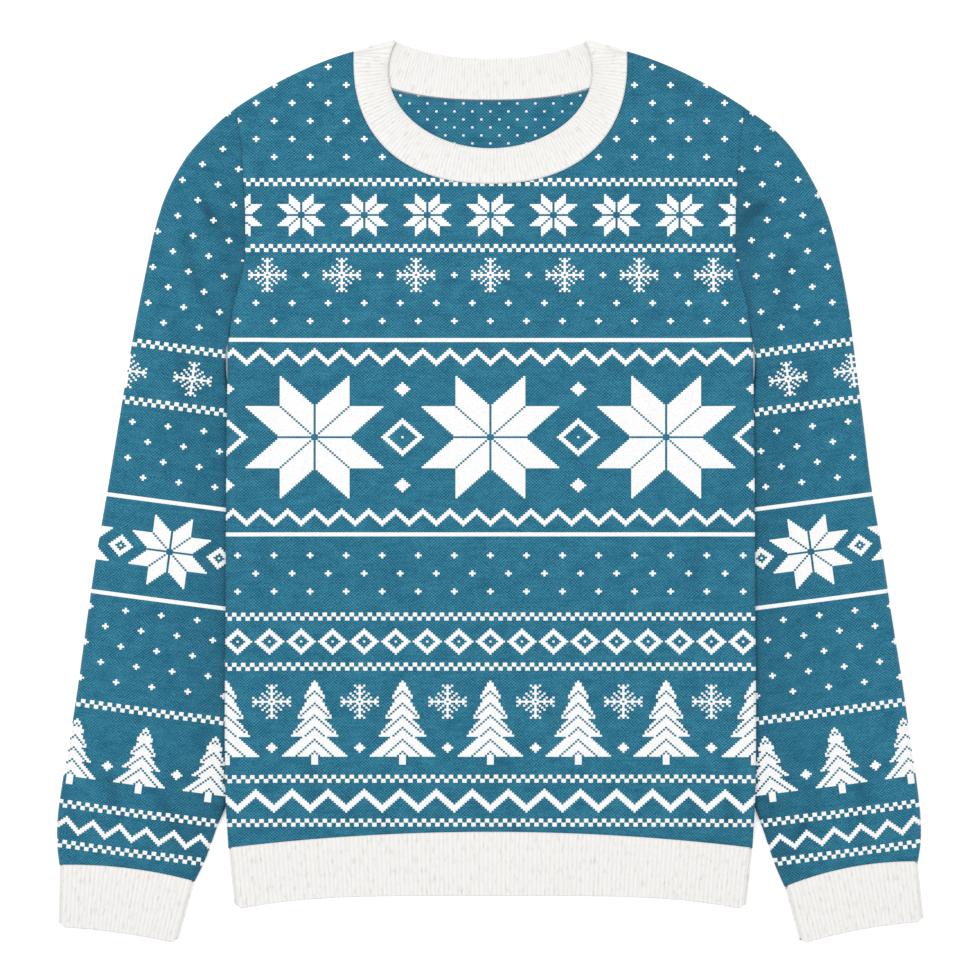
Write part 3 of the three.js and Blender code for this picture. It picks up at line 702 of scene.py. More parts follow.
class Motif(Enum):
    """Traditional two-colour motifs, each drawn by a rule on its own small chart."""

    STAR = "eight-pointed star"
    FIR = "fir tree"
    FLAKE = "snowflake"
    DIAMOND = "hollow diamond"
    SPOT = "snow spot"

    def draw(self, reach: int) -> Array:
        """Draw the motif.

        Args:
            reach: Stitches from its middle column to its side.

        Returns:
            A chart of rows and columns, True in the second yarn.
        """
        a, b = np.meshgrid(np.arange(-reach, reach + 1), np.arange(-reach, reach + 1))
        p, q = np.abs(a), np.abs(b)
        near, far = np.minimum(p, q), np.maximum(p, q)
        if self is Motif.STAR:
            half = reach // 2
            return (near >= 1) & (far - near >= 1) & (near <= half) & (far - near <= half + reach % 2)
        if self is Motif.FLAKE:
            arms = (near == 0) & (far > 0) | (near == far) & (far <= 0.6 * reach) & (far > 0)
            tips = (near == far - reach + 2) & (near > 0)
            twigs = (near == far - reach + 5) & (near > 0) & (near < 3) & (reach > 7)
            return arms | tips | twigs
        if self is Motif.DIAMOND:
            return (p + q <= reach) & (p + q >= max(reach - 2, 1)) | (p + q == 0)
        if self is Motif.SPOT:
            return p + q <= reach
        rows, columns = np.arange(3 * reach)[:, None], np.abs(np.arange(-reach, reach + 1))[None]
        part = (rows - 4) / ((3 * reach - 4) / 4)  # 0 at the lowest branches and 4 at the tip
        wide = reach * (1 - 0.22 * np.floor(part)) * (1 - 0.62 * (part % 1))
        wide = np.where(part >= 3, 0.36 * reach * (4 - part), wide)
        gaps = ((rows + columns) % 6 == 0) & (columns < wide - 1)
        trunk = (part < 0) & (columns <= max(reach // 8, 1))
        return trunk | (part >= 0) & (columns <= wide) & ~gaps


@dataclass
class Chart:
    """A knitting chart of rows and columns, with its column 0 in the middle of the piece."""

    rows: int
    columns: int
    cells: Array = field(init=False)

    def __post_init__(self) -> None:
        """Start with the ground yarn all over."""
        self.cells = np.zeros((self.rows, self.columns), bool)

    @property
    def across(self) -> Array:
        """Number of each column from the middle one."""
        return np.arange(self.columns) - self.columns // 2

    def band(self, motif: Motif, reach: int, row: int, pitch: int, shift: int = 0) -> None:
        """Knit a motif again and again across the chart, from its lowest row up."""
        chart = motif.draw(reach)
        local = (self.across + shift + pitch // 2) % pitch - pitch // 2
        picked = chart[:, np.clip(local + reach, 0, 2 * reach)] & (np.abs(local) <= reach)
        self.cells[row : row + len(chart)] |= picked[: self.rows - row]

    def zigzag(self, row: int, height: int, thick: int = 2) -> None:
        """Knit a zigzag: the row climbs and falls with the distance to the nearest turn."""
        wave = np.abs((self.across + height) % (2 * height) - height)
        rise = np.arange(height + thick)[:, None]
        self.cells[row : row + height + thick] |= (rise >= wave) & (rise < wave + thick)

    def checks(self, row: int, size: int = 2) -> None:
        """Knit two lines of checks, each as wide and high as the size."""
        lines = np.arange(2 * size)[:, None] // size
        self.cells[row : row + 2 * size] |= (self.across // size + lines) % 2 == 0

    def line(self, row: int, height: int = 1) -> None:
        """Knit whole rows in the second yarn."""
        self.cells[row : row + height] = True

    def spots(self, low: int, high: int, pitch: int, rise: int) -> None:
        """Scatter snow spots in staggered rows between two rows."""
        for step, row in enumerate(range(low, high, rise)):
            self.band(Motif.SPOT, 1, row, pitch, (step % 2) * (pitch // 2))

    def read(self, cells: Array) -> Array:
        """Look up stitches by column and row."""
        column = np.clip(cells[:, 0] + self.columns // 2, 0, self.columns - 1)
        return self.cells[np.clip(cells[:, 1], 0, self.rows - 1), column].astype(float)


def body_chart() -> Chart:
    """Chart the body, bands of old northern motifs over each other, from the hem up."""
    chart = Chart(420, 260)
    chart.checks(11)
    chart.zigzag(18, 8, 4)
    chart.checks(33)
    chart.band(Motif.FIR, 14, 42, 39)
    chart.band(Motif.SPOT, 2, 48, 39, 19)
    chart.band(Motif.FLAKE, 8, 65, 39, 19)
    chart.checks(89)
    chart.band(Motif.DIAMOND, 6, 97, 14)
    chart.checks(114)
    chart.spots(127, 152, 16, 9)
    chart.line(156, 2)
    chart.zigzag(161, 6, 3)
    chart.band(Motif.STAR, 30, 175, 78)
    chart.band(Motif.DIAMOND, 9, 196, 78, 39)
    chart.band(Motif.SPOT, 3, 178, 78, 39)
    chart.band(Motif.SPOT, 3, 226, 78, 39)
    chart.zigzag(241, 6, 3)
    chart.line(253, 2)
    chart.spots(262, 275, 16, 9)
    chart.band(Motif.FLAKE, 8, 278, 33)
    chart.band(Motif.SPOT, 1, 285, 33, 16)
    chart.checks(298)
    chart.band(Motif.STAR, 10, 306, 28)
    chart.checks(331)
    chart.spots(344, 400, 16, 9)
    return chart


def sleeve_chart() -> Chart:
    """Chart a sleeve, from the cuff up, with the body's motifs at their own heights."""
    chart = Chart(420, 120)
    chart.checks(9)
    chart.zigzag(16, 6, 3)
    chart.checks(29)
    chart.band(Motif.FIR, 11, 41, 31)
    chart.band(Motif.SPOT, 2, 50, 31, 15)
    chart.checks(80)
    chart.spots(93, 132, 16, 9)
    chart.line(137, 2)
    chart.band(Motif.STAR, 17, 145, 44)
    chart.band(Motif.DIAMOND, 5, 157, 44, 22)
    chart.line(186, 2)
    chart.spots(196, 228, 16, 9)
    chart.checks(233)
    chart.band(Motif.FLAKE, 8, 241, 29)
    chart.checks(262)
    chart.spots(274, 400, 16, 9)
    return chart


def quads_of(number: Array, wrap: bool) -> Array:
    """Faces of a grid of vertex numbers, row by row, with its columns closed round if asked."""
    if wrap:
        number = np.hstack([number, number[:, :1]])
    a, b, c, d = number[:-1, :-1], number[:-1, 1:], number[1:, 1:], number[1:, :-1]
    return np.stack([a, b, c, d], -1).reshape(-1, 4)


@dataclass(frozen=True)
class Panel:
    """Front or back of the body, a wall of knit from the hem seam to the shoulders."""

    name: str
    node: str
    neck: tuple[float, float, float, float]  # half width, height, drop and sweep in degrees
    is_front: bool
    creases: tuple
    rests_on: tuple[str, ...]
    gauge: Gauge = Gauge()

    def neckline(self, share: Array) -> Array:
        """The neckline from left to right, half a superellipse hanging from its height."""
        x, y, drop, sweep = self.neck
        angle = np.radians(sweep) * share
        shape = [np.sign(v) * np.abs(v) ** (2 / NECK_POWER) for v in (np.sin(angle), np.cos(angle))]
        return np.stack([(x + SEAM) * shape[0], y - (drop + SEAM) * shape[1]], 1)

    @staticmethod
    def shoulder(share: Array) -> Array:
        """The right shoulder from its tip to the neck point, a quadratic curve."""
        t = share[:, None]
        tip, bow, point = map(np.array, (SHOULDER_TIP, SHOULDER_BOW, NECK_POINT))
        return (1 - t) ** 2 * tip + 2 * t * (1 - t) * bow + t * t * point

    def outline(self) -> Outline:
        """The panel's edge, anticlockwise from the left end of the hem seam."""
        x = np.linspace(-HEM_HALF, HEM_HALF, 181)
        hem = np.stack([x, hem_seam(x)], 1)
        y = np.linspace(-285.5, SHOULDER_TIP[1], 301)
        side = np.stack([half_width(y), y], 1)
        shoulder = self.shoulder(np.linspace(0, 1, 61))
        neck = self.neckline(np.linspace(1, -1, 181))
        flip = np.array([-1.0, 1.0])
        runs = [hem, side[1:], shoulder[1:], neck, (shoulder * flip)[::-1], (side * flip)[-2:0:-1]]
        ends = np.cumsum([len(run) for run in runs])
        corners = (0, ends[0] - 1, ends[1] - 1, ends[2] - 1, ends[3], ends[4] - 1)
        return Outline(np.concatenate(runs), tuple(int(c) for c in corners))

    def edge_drop(self, x: Array, y: Array) -> Array:
        """Rounding of the outer face towards each edge, the deepest of the four."""
        across = np.abs(x)
        shoulder = self.shoulder(np.linspace(1, 0, 61))
        tip = 0.86 * (np.interp(across, shoulder[:, 0], shoulder[:, 1]) - y)
        half, top, drop, _ = self.neck
        radius = np.hypot(x, top - y)
        bulge = (across / half) ** NECK_POWER + (np.maximum(top - y, 0) / drop) ** NECK_POWER
        neck = np.where(across < half, radius * (1 - bulge ** (-1 / NECK_POWER)), 99.0)
        drops = [
            rounded(half_width(y) - across, 2.4, 1.0) * (1.9 - 1.65 * smooth(y, 112, 150)),
            rounded(np.where(across > NECK_POINT[0], tip, 99.0), 2.2, 1.7),
            rounded(neck, 1.8, 0.7),
            rounded(y - hem_seam(x), 1.4, 0.35),
        ]
        return np.max(drops, axis=0)

    def outer(self, x: Array, y: Array) -> Array:
        """Height of the face that is seen: the front's top or the back's underside."""
        drop = self.edge_drop(x, y)
        fade = np.clip(1 - drop / 0.6, 0, 1) * smooth(y - hem_seam(x), 0.5, 6)
        if self.is_front:
            soft = crease_height(FOLDS, x, y) + crease_height(self.creases, x, y) + handling(x, y, 3)
            return 2 * WALL + SEAM + lift_at(x, y) + air_at(x, y) + fade * soft - drop
        soft = np.maximum(crease_height(self.creases, x, y) + handling(x, y, 5), 0)
        return lift_at(x, y) + fade * soft + drop

    def inner(self, x: Array, y: Array) -> Array:
        """Height of the face inside the body."""
        if self.is_front:
            return WALL + SEAM + lift_at(x, y) + air_at(x, y)
        return WALL + lift_at(x, y) + 0 * x

    def hollow(self, x: Array, y: Array) -> Array:
        """How deep the shade painted into the cloth's colour is, in its troughs and at the turn of its
        sides.
        """
        side = 0.12 * np.exp(-np.maximum(half_width(y) - np.abs(x), 0) / 3) * (y < UNDERARM)
        return np.clip(trough_shade(self.creases, x, y) + side, 0, 1)

    def inner_grid(self) -> Array:
        """Coarse grid of the face inside: straight columns from the hem seam to the top edge."""
        part = np.linspace(HEM_HALF, 125, 13)
        middle = np.linspace(125, -125, 45)
        foot_x = np.concatenate([part, middle[1:-1], -part[::-1]])[::-1]
        share = foot_x / 125
        tops = self.neckline(share)
        out = np.abs(foot_x) >= 125
        tops[out] = self.shoulder((HEM_HALF - np.abs(foot_x[out])) / (HEM_HALF - 125))
        tops[out, 0] *= np.sign(foot_x[out])
        foot = np.stack([foot_x, hem_seam(foot_x)], 1)
        up = np.linspace(0, 1, 80)[:, None]
        y = -285.5 + up * (SHOULDER_TIP[1] + 285.5)
        widening = half_width(y) - (HEM_HALF + up * (SHOULDER_TIP[0] - HEM_HALF))
        grid = foot[None] + up[..., None] * (tops - foot)[None]
        grid[..., 0] += widening * foot_x / HEM_HALF
        return grid

    def build(self, chart: Chart, material: bpy.types.Material) -> bpy.types.Object:
        """Knit the panel: its seen face stitch by stitch, its inner face plain, and its rim.

        Args:
            chart: The second yarn's places.
            material: What it wears.

        Returns:
            The finished piece.
        """
        outline = self.outline()
        cut = self.gauge.cut(outline)
        yarn = chart.read(cut.cells)
        rise = relief(cut, yarn)
        x, y = cut.xy.T
        height = self.outer(x, y)
        # The underside keeps its relief within the wall where it rests on the floor
        height += rise if self.is_front else np.where(height < 1, RELIEF - rise, 0.0)
        outer = np.column_stack([cut.xy, height])
        grid = self.inner_grid()
        flat = grid.reshape(-1, 2)
        inner = np.column_stack([flat, self.inner(*flat.T)])
        number = np.arange(len(flat)).reshape(grid.shape[:2]) + len(outer)
        border = np.concatenate([number[0], number[1:, -1], number[-1, -2::-1], number[-2:0:-1, 0]])
        border_at = outline.nearest(np.vstack([outer, inner])[border][:, :2])
        border_at[0] = 0.0
        border_at = np.maximum.accumulate(border_at)
        rim = bridge(border, cut.rim, border_at, cut.rim_at)
        seen, plain = cut.faces, quads_of(number, False)[:, ::-1]
        if not self.is_front:
            seen, plain, rim = seen[:, ::-1], plain[:, ::-1], rim[:, ::-1]
        points = np.vstack([outer, inner])
        uv = self.gauge.stitches(points[:, :2])
        patches = [
            Patch(seen, uv[seen], yarn, hollow=self.hollow(x, y)[seen].mean(1)),
            Patch(plain, uv[plain], np.zeros(1), 1.0),
            Patch(rim, uv[rim], np.zeros(1), 1.0),
        ]
        piece = make_piece(self.name, points, patches, material)
        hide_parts(self.node)
        outline.area() * METRES**2
        return piece


def relief(cut: Cut, yarn: Array) -> Array:
    """Relief of the knit itself: the second yarn stands proud, and every other loop a little."""
    lift = np.bincount(cut.faces.ravel(), np.repeat(yarn, 4), len(cut.xy)) / 4
    grain = np.where(cut.knots.sum(1) % 2 == 0, 2.0, 0.0)
    return YARN_RISE * lift + GRAIN * grain


@dataclass(frozen=True)
class Sleeve:
    """A sleeve, one flattened tube of knit from the armhole to the cuff."""

    name: str
    node: str
    side: int
    table: tuple
    creases: tuple
    gauge: Gauge

    def section(self, share: Array) -> tuple[Array, ...]:
        """Read the outer and the inner edge, the way to the shoulder and the row's other values."""
        row = rows_at(np.array(self.table, float), share)
        outer, inner = row[..., 0:2], row[..., 2:4]
        across = inner - outer
        unit = across / np.linalg.norm(across, axis=-1, keepdims=True)
        up = np.stack([-unit[..., 1], unit[..., 0]], -1) * -self.side
        return outer, inner, up, row[..., 4:]

    @staticmethod
    def armhole_bend(at: Array) -> tuple[Array, Array]:
        """How far the armhole is off its straight line, and how high it lies, at a share of it."""
        y = SHOULDER_TIP[1] + at * (UNDERARM - SHOULDER_TIP[1])
        x = half_width(y)
        straight = SHOULDER_TIP[0] + at * (ARMHOLE[0, 1] - SHOULDER_TIP[0])
        return straight - x, lift_at(x, y)

    def bend(self, at: Array, values: Array) -> Array:
        """How far a section bows to the shoulder, at a share of the way across."""
        return values[..., 0] * self.armhole_bend(at)[0] + values[..., 3] * 4 * at * (1 - at)

    def place(self, share: Array, at: Array) -> Array:
        """Place on the floor at a share of the length and a share of the way across."""
        outer, inner, up, values = self.section(share)
        across = at[..., None] * (inner - outer)
        return outer + across + self.bend(at, values)[..., None] * up

    def unplace(self, xy: Array) -> tuple[Array, Array]:
        """Find the share of the length and of the way across of each place, by Newton's method."""
        ends = self.place(np.array([0.0, 1.0]), np.array([0.5, 0.5]))
        axis = ends[1] - ends[0]
        share = np.clip((xy - ends[0]) @ axis / (axis @ axis), 0.01, 0.99)
        at = np.full(len(xy), 0.5)
        for _ in range(14):
            outer, inner, up, values = self.section(share)
            across = inner - outer
            at = np.clip(((xy - outer) * across).sum(1) / (across**2).sum(1), 0, 1)
            gap = ((xy - outer) * up).sum(1) - self.bend(at, values)
            ahead = self.place(np.clip(share + 0.01, 0, 1), at) - self.place(np.clip(share - 0.01, 0, 1), at)
            speed = np.minimum((ahead * up).sum(1) / 0.02, -60.0)
            share = np.clip(share + np.clip(gap / speed, -0.1, 0.1), 0.0, 1.0)
        return share, at

    def heights(self, xy: Array) -> tuple[Array, Array]:
        """Heights of the top and of the underside at each place."""
        share, at = self.unplace(xy)
        outer, inner, _, values = self.section(share)
        width = np.linalg.norm(inner - outer, axis=1)
        puff = np.maximum(values[:, 2], 0)
        floor = np.maximum(values[:, 1], 0) * self.armhole_bend(at)[1]
        x, y = xy.T
        wrist = smooth(1 - share, 0.0, 0.02)
        crown = wrist * puff * smooth(1 - at, 0.17, 0.5) * smooth(at, 0, 0.35)
        crown += np.minimum(puff, 1) * crease_height(FOLDS, x, y)
        shown = smooth(at, 0.0, 0.12) * smooth(1 - at, 0.0, 0.2) * smooth(share, 0, 0.04) * wrist
        soft = crease_height(self.creases, x, y) + handling(x, y, 11)
        fold = rounded(np.minimum(at, 1 - at) * width, LAYERS / 2, LAYERS / 2)
        top = floor + LAYERS + crown + shown * np.maximum(soft, -1.0) - fold
        under = floor + fold + UNDERSIDE_OF_SLEEVE * shown * np.maximum(soft, 0)
        return top, under

    def outline(self) -> Outline:
        """The sleeve's edge on the floor, anticlockwise from the shoulder tip."""
        down, along = np.linspace(0, 1, 321), np.linspace(0, 1, 81)
        zero, one = np.zeros_like, np.ones_like
        runs = [
            self.place(down, zero(down)),
            self.place(one(along), along)[1:],
            self.place(down[::-1], one(down))[1:],
            self.place(zero(along), along[::-1])[1:-1],
        ]
        ends = np.cumsum([len(run) for run in runs])
        points, corners = np.concatenate(runs), np.array([0, ends[0] - 1, ends[1] - 1, ends[2] - 1])
        if self.side > 0:
            points = np.roll(points[::-1], 1, 0)
            corners = (len(points) - corners) % len(points)
        return Outline(points, tuple(int(c) for c in corners))

    def build(self, chart: Chart, material: bpy.types.Material) -> bpy.types.Object:
        """Knit the sleeve: top and underside meet along both folds, with a plain tube inside.

        Args:
            chart: The second yarn's places.
            material: What it wears.

        Returns:
            The finished piece.
        """
        outline = self.outline()
        cut = self.gauge.cut(outline)
        yarn = chart.read(cut.cells)
        top, under = self.heights(cut.xy)
        tip, wrist, wrist_in, underarm = outline.marks[list(outline.corners)]
        whole = outline.marks[-1]
        # Share of the way across each open end, from the outer fold to the inner one
        if self.side > 0:
            at_wrist = (wrist - cut.rim_at) / (wrist - wrist_in)
            at_top = (cut.rim_at - tip) / (underarm - tip)
        else:
            at_wrist = (cut.rim_at - wrist) / (wrist_in - wrist)
            at_top = (whole - cut.rim_at) % whole / (whole - underarm)
        tiny = 1e-9
        wrist_rim = (at_wrist > tiny) & (at_wrist < 1 - tiny)
        top_rim = (at_top > tiny) & (at_top < 1 - tiny)
        rise = relief(cut, yarn)
        on_fold = np.zeros(len(cut.xy), bool)
        on_fold[cut.rim] = ~(wrist_rim | top_rim)
        on_end = np.zeros(len(cut.xy), bool)
        on_end[cut.rim] = wrist_rim | top_rim
        top = top + np.where(on_fold, 0, rise) - 0.12 * on_end
        under = under + 0.3 * on_end + (RELIEF - rise) * (under < 1) * ~on_fold
        own = ~on_fold
        below = np.where(own, len(cut.xy) + np.cumsum(own) - 1, np.arange(len(cut.xy)))
        points = np.vstack([np.column_stack([cut.xy, top]), np.column_stack([cut.xy, under])[own]])
        # The inner tube: its stations go across under the top and back over the underside
        down, across = np.linspace(0, 1, 64), np.linspace(0, 1, 25)
        stations = np.concatenate([across, across[-2:0:-1]])
        is_top = np.arange(len(stations)) < len(across)
        share, station = np.meshgrid(down, stations, indexing="ij")
        outer, inner, _, values = self.section(share)
        inset = WALL / np.linalg.norm(inner - outer, axis=-1)
        at = inset + station * (1 - 2 * inset)
        tube = self.place(share, at)
        floor = np.maximum(values[..., 1], 0) * self.armhole_bend(at)[1]
        puff = np.maximum(values[..., 2], 0) * smooth(1 - at, 0.17, 0.5) * smooth(at, 0, 0.35)
        fold = (station == 0) | (station == 1)
        lift = np.where(is_top, WALL + SEAM + puff, WALL)
        height = floor + np.where(fold, LAYERS / 2, lift)
        number = np.arange(tube[..., 0].size).reshape(share.shape) + len(points)
        points = np.vstack([points, np.dstack([tube, height]).reshape(-1, 3)])
        ring_at = np.where(is_top, stations / 2, 1 - stations / 2)
        walls = quads_of(number, True)
        rims = []
        for rim, share_across, ring, turned in (
            (top_rim, at_top, number[0], False),
            (wrist_rim, at_wrist, number[-1], True),
        ):
            kept = rim | (np.abs(share_across) < tiny) | (np.abs(share_across - 1) < tiny)
            ends, shares = cut.rim[kept], share_across[kept]
            inner_rim = cut.rim[rim]
            loop = np.concatenate([ends, below[inner_rim]])
            loop_at = np.concatenate([shares / 2, 1 - share_across[rim] / 2])
            order = np.argsort(loop_at)
            faces = bridge(loop[order], ring, loop_at[order], ring_at)
            rims.append(faces[:, ::-1] if turned else faces)
        rim = np.concatenate(rims)
        if self.side > 0:
            walls, rim = walls[:, ::-1], rim[:, ::-1]
        uv = self.gauge.stitches(points[:, :2])
        bottom = below[cut.faces][:, ::-1]
        # Painted shade beside the body and in the troughs, averaged over each face
        shade = np.clip(beside_body(*cut.xy.T) + trough_shade(self.creases, *cut.xy.T), 0, 1)
        hollow = shade[cut.faces].mean(1)
        patches = [
            Patch(cut.faces, uv[cut.faces], yarn, hollow=hollow),
            Patch(bottom, uv[bottom], yarn, hollow=hollow),
            Patch(walls, uv[walls], np.zeros(1), 1.0),
            Patch(rim, uv[rim], np.zeros(1), 1.0),
        ]
        piece = make_piece(self.name, points, patches, material)
        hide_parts(self.node)
        area = 2 * outline.area() * METRES**2
        LOG.info("%s: %.3f m2 all round", self.name, area)
        return piece


class Band:
    """Shared ways of the ribbed bands, each a grid closed round the opening and round its wall."""

    ribs_fine = 8  # columns of the grid to one rib

    @staticmethod
    def rib(phase: Array) -> Array:
        """Height of a rib, 1 on its crest and 0 in its furrow, as a softened cosine of the phase."""
        wave = 0.5 - 0.5 * np.cos(2 * np.pi * phase)
        return wave**0.7

    @staticmethod
    def uneven(phase: Array, seed: int) -> Array:
        """Share of its full height that the rib at each phase has, from 0.65 to 1, rib by rib."""
        gains = np.random.default_rng(seed).uniform(0.65, 1.0, int(phase.max()) + 2)
        return gains[phase.astype(int)]

    @staticmethod
    def torus(
        name: str, grid: Array, around: Array, down: Array, material: bpy.types.Material
    ) -> bpy.types.Object:
        """Close a grid of points both ways and make a piece of it.

        Args:
            name: The piece's name.
            grid: Points in rows down the wall and columns round the opening.
            around: Each column's place in stitches, with one more for the way back to the first.
            down: Each row's place in stitches, with one more likewise.
            material: What it wears.

        Returns:
            The finished piece.
        """
        rows, columns = grid.shape[:2]
        number = np.arange(rows * columns).reshape(rows, columns)
        number = np.vstack([number, number[:1]])
        faces = quads_of(number, True)
        u = np.stack([around[:-1], around[1:], around[1:], around[:-1]], 1)
        v = np.stack([down[:-1], down[:-1], down[1:], down[1:]], 1)
        uv = np.stack(
            [np.tile(u, (rows, 1)), np.repeat(v, columns, 0)],
            -1,
        )
        points = grid.reshape(-1, 3)
        corner = points[faces]
        volume = np.einsum("ij,ij->i", corner[:, 0], np.cross(corner[:, 1], corner[:, 2])).sum()
        volume += np.einsum("ij,ij->i", corner[:, 0], np.cross(corner[:, 2], corner[:, 3])).sum()
        if volume < 0:
            faces, uv = faces[:, ::-1], uv[:, ::-1]
        return make_piece(name, points, [Patch(faces, uv, np.ones(1))], material)


@dataclass(frozen=True)
class RibTube(Band):
    """A ribbed tube lying flat, such as the hem or a cuff."""

    name: str
    node: str
    ribs: int
    top: Array  # seam edge from the outer fold to the inner one, or from left to right
    foot: Array  # free edge likewise
    flat: tuple[float, float]
    rests_on: tuple[str, ...] = ("floor",)
    depth: float = 0.3  # how far a furrow goes below the plain cloth
    lip: float = 0.5  # how far the seam edge lies over the cloth
    tooth: float = 0.35  # how much further each linking stitch reaches

    def build(self, material: bpy.types.Material) -> bpy.types.Object:
        """Lay the ribs out: over the top, round one fold, back along the floor and round the other.

        Each station faces a way, from 90 degrees on the top to -90 on the floor, and stands off the
        tube's middle line by half the layers, less its depth in the wall, plus its rib.
        """
        count = self.ribs * self.ribs_fine
        across = np.linspace(0, 1, count + 1)
        turns = np.radians([60.0, 30.0, 0.0, -30.0, -60.0])
        at = np.concatenate([across, np.ones(5), across[::-1], np.zeros(5)])
        turn = np.concatenate(
            [np.full(count + 1, np.pi / 2), turns, np.full(count + 1, -np.pi / 2), turns[::-1]]
        )
        crests = self.rib(across * self.ribs) * self.uneven(across * self.ribs, self.ribs)
        rib = np.concatenate([crests, np.zeros(5), crests[::-1], np.zeros(5)])
        flat_part = np.abs(np.abs(turn) - np.pi / 2) < 1e-6
        outside = np.concatenate([[0.0, 0.02, 0.05], np.linspace(0.1, 0.94, 9), [0.98, 1.0]])
        inside = np.array([1.0, 0.5, 0.0])
        share = np.concatenate([outside, [1.0], inside, [0.0]])
        depth = np.concatenate([np.zeros(len(outside)), [WALL / 2], np.full(3, WALL), [WALL / 2]])
        full = np.arange(len(share)) < len(outside)
        ribbing = np.where(full, smooth(share, 0.01, 0.07), 0.0)
        share, depth, ribbing = share[:, None], depth[:, None], ribbing[:, None]
        read = np.linspace(0, 1, len(self.top))
        line = [
            np.stack([np.interp(at, read, run[:, k]) for k in (0, 1)], -1) for run in (self.top, self.foot)
        ]
        way = line[1] - line[0]
        long = np.linalg.norm(way, axis=-1)
        nose = np.zeros_like(share)
        nose[0], nose[len(outside) - 1] = RIM, -RIM
        nose[len(outside) + 1], nose[-2] = -RIM, RIM
        spot = line[0] + share[..., None] * way + (nose / long)[..., None] * way
        ends = np.where(at > 0.5, 1, -1)
        outward = np.where((ends > 0)[:, None], self.top[-1] - self.top[-2], self.top[0] - self.top[1])
        outward = outward / np.linalg.norm(outward, axis=1, keepdims=True)
        crest = RIB_RISE * rib - self.depth * (1 - rib)
        radius = LAYERS / 2 - depth + ribbing * np.where(flat_part, crest, 0)
        edge = (at == 0) | (at == 1)
        shrink = np.where(edge, radius * np.cos(turn) - LAYERS / 2, 0)
        near = np.where(at > 0.5, 1 - at, at) * np.linalg.norm(line[0][0] - line[0][count])
        inset = np.where(edge, 0, -np.clip(LAYERS / 2 - near, 0, LAYERS / 2))
        spot = spot + (shrink + inset)[..., None] * outward
        z = LAYERS / 2 + radius * np.sin(turn)
        under = np.where(turn < -1.5, RIB_RISE * ribbing * full[:, None], 0)
        # The seam edge lies over the cloth above, with two linking stitches to a rib
        lap = (turn > 1.5) * smooth(near, 0.0, 2.5)
        tooth = np.maximum(np.sin(2 * np.pi * (2 * at * self.ribs)), 0)
        reach = np.zeros_like(share)
        reach[0] = 1.0
        over = reach * lap * (RIM + SEAM + self.lip + self.tooth * tooth) / long
        spot = spot - over[..., None] * way
        z = z + under
        z[0] += lap * (0.3 + 0.1 * tooth)
        grid = np.dstack([spot, z])
        phase = np.concatenate([across, np.ones(5), 2 - across[::-1], np.full(5, 2.0)]) * 2 * self.ribs
        around = np.concatenate([phase, [4.0 * self.ribs]])
        rows = np.concatenate([share[:, 0], [0.0]]) * float(long.mean()) / STITCH_HIGH
        piece = self.torus(self.name, grid, around, rows, material)
        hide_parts(self.node)
        return piece


def cut_corner(beside: Array, size: float) -> Array:
    """How far a free edge draws back at its corner: all of it on the fold, and less beside it."""
    return size * (1 - np.clip((beside - LAYERS / 2) / size, 0, 1)) ** 2


def hem_band() -> RibTube:
    """The hem: one ribbed tube from the body's seam to a free edge with rounded corners."""
    t = np.linspace(-1, 1, 401)
    top_x, foot_x = t * HEM_HALF, t * 205.0
    foot_y = -323.5 - 11.5 * t**4 + cut_corner(205.0 - np.abs(foot_x), 4)
    top = np.stack([top_x, hem_seam(top_x) - SEAM], 1)
    return RibTube("hem_knit", "hem_rib", 117, top, np.stack([foot_x, foot_y], 1), (0.829, 0.052))


def cuff_band(name: str, node: str, table: tuple, side: int) -> RibTube:
    """A cuff: a ribbed tube from the sleeve's end to its free edge, both bowed to the shoulder.

    The table's second row is carried on to the third one's depth, and its corners are cut.
    """
    at = np.linspace(0, 1, 401)[:, None]
    rows = np.array(table, float)
    down = (rows[1, :4] - rows[0, :4]).reshape(2, 2)
    down /= np.linalg.norm(down, axis=1, keepdims=True)
    further = ((rows[2, :4] - rows[1, :4]).reshape(2, 2) * down).sum(1, keepdims=True) * down
    foot = rows[1, :4].reshape(2, 2) + further
    lines = []
    for (outer, inner), bow in ((rows[0, :4].reshape(2, 2), table[0][4]), (foot, table[2][4])):
        unit = (inner - outer) / np.linalg.norm(inner - outer)
        up = np.array([-unit[1], unit[0]]) * -side
        lines.append(outer + at * (inner - outer) + bow * 4 * at * (1 - at) * up)
    beside = np.minimum(at, 1 - at) * np.linalg.norm(foot[1] - foot[0])
    lines[1] = lines[1] - cut_corner(beside, 3) * ((1 - at) * down[0] + at * down[1])
    width = np.linalg.norm(lines[0][0] - lines[0][-1]) + np.linalg.norm(lines[1][0] - lines[1][-1])
    return RibTube(name, node, 30, lines[0], lines[1], (float(width) * METRES, 0.05))


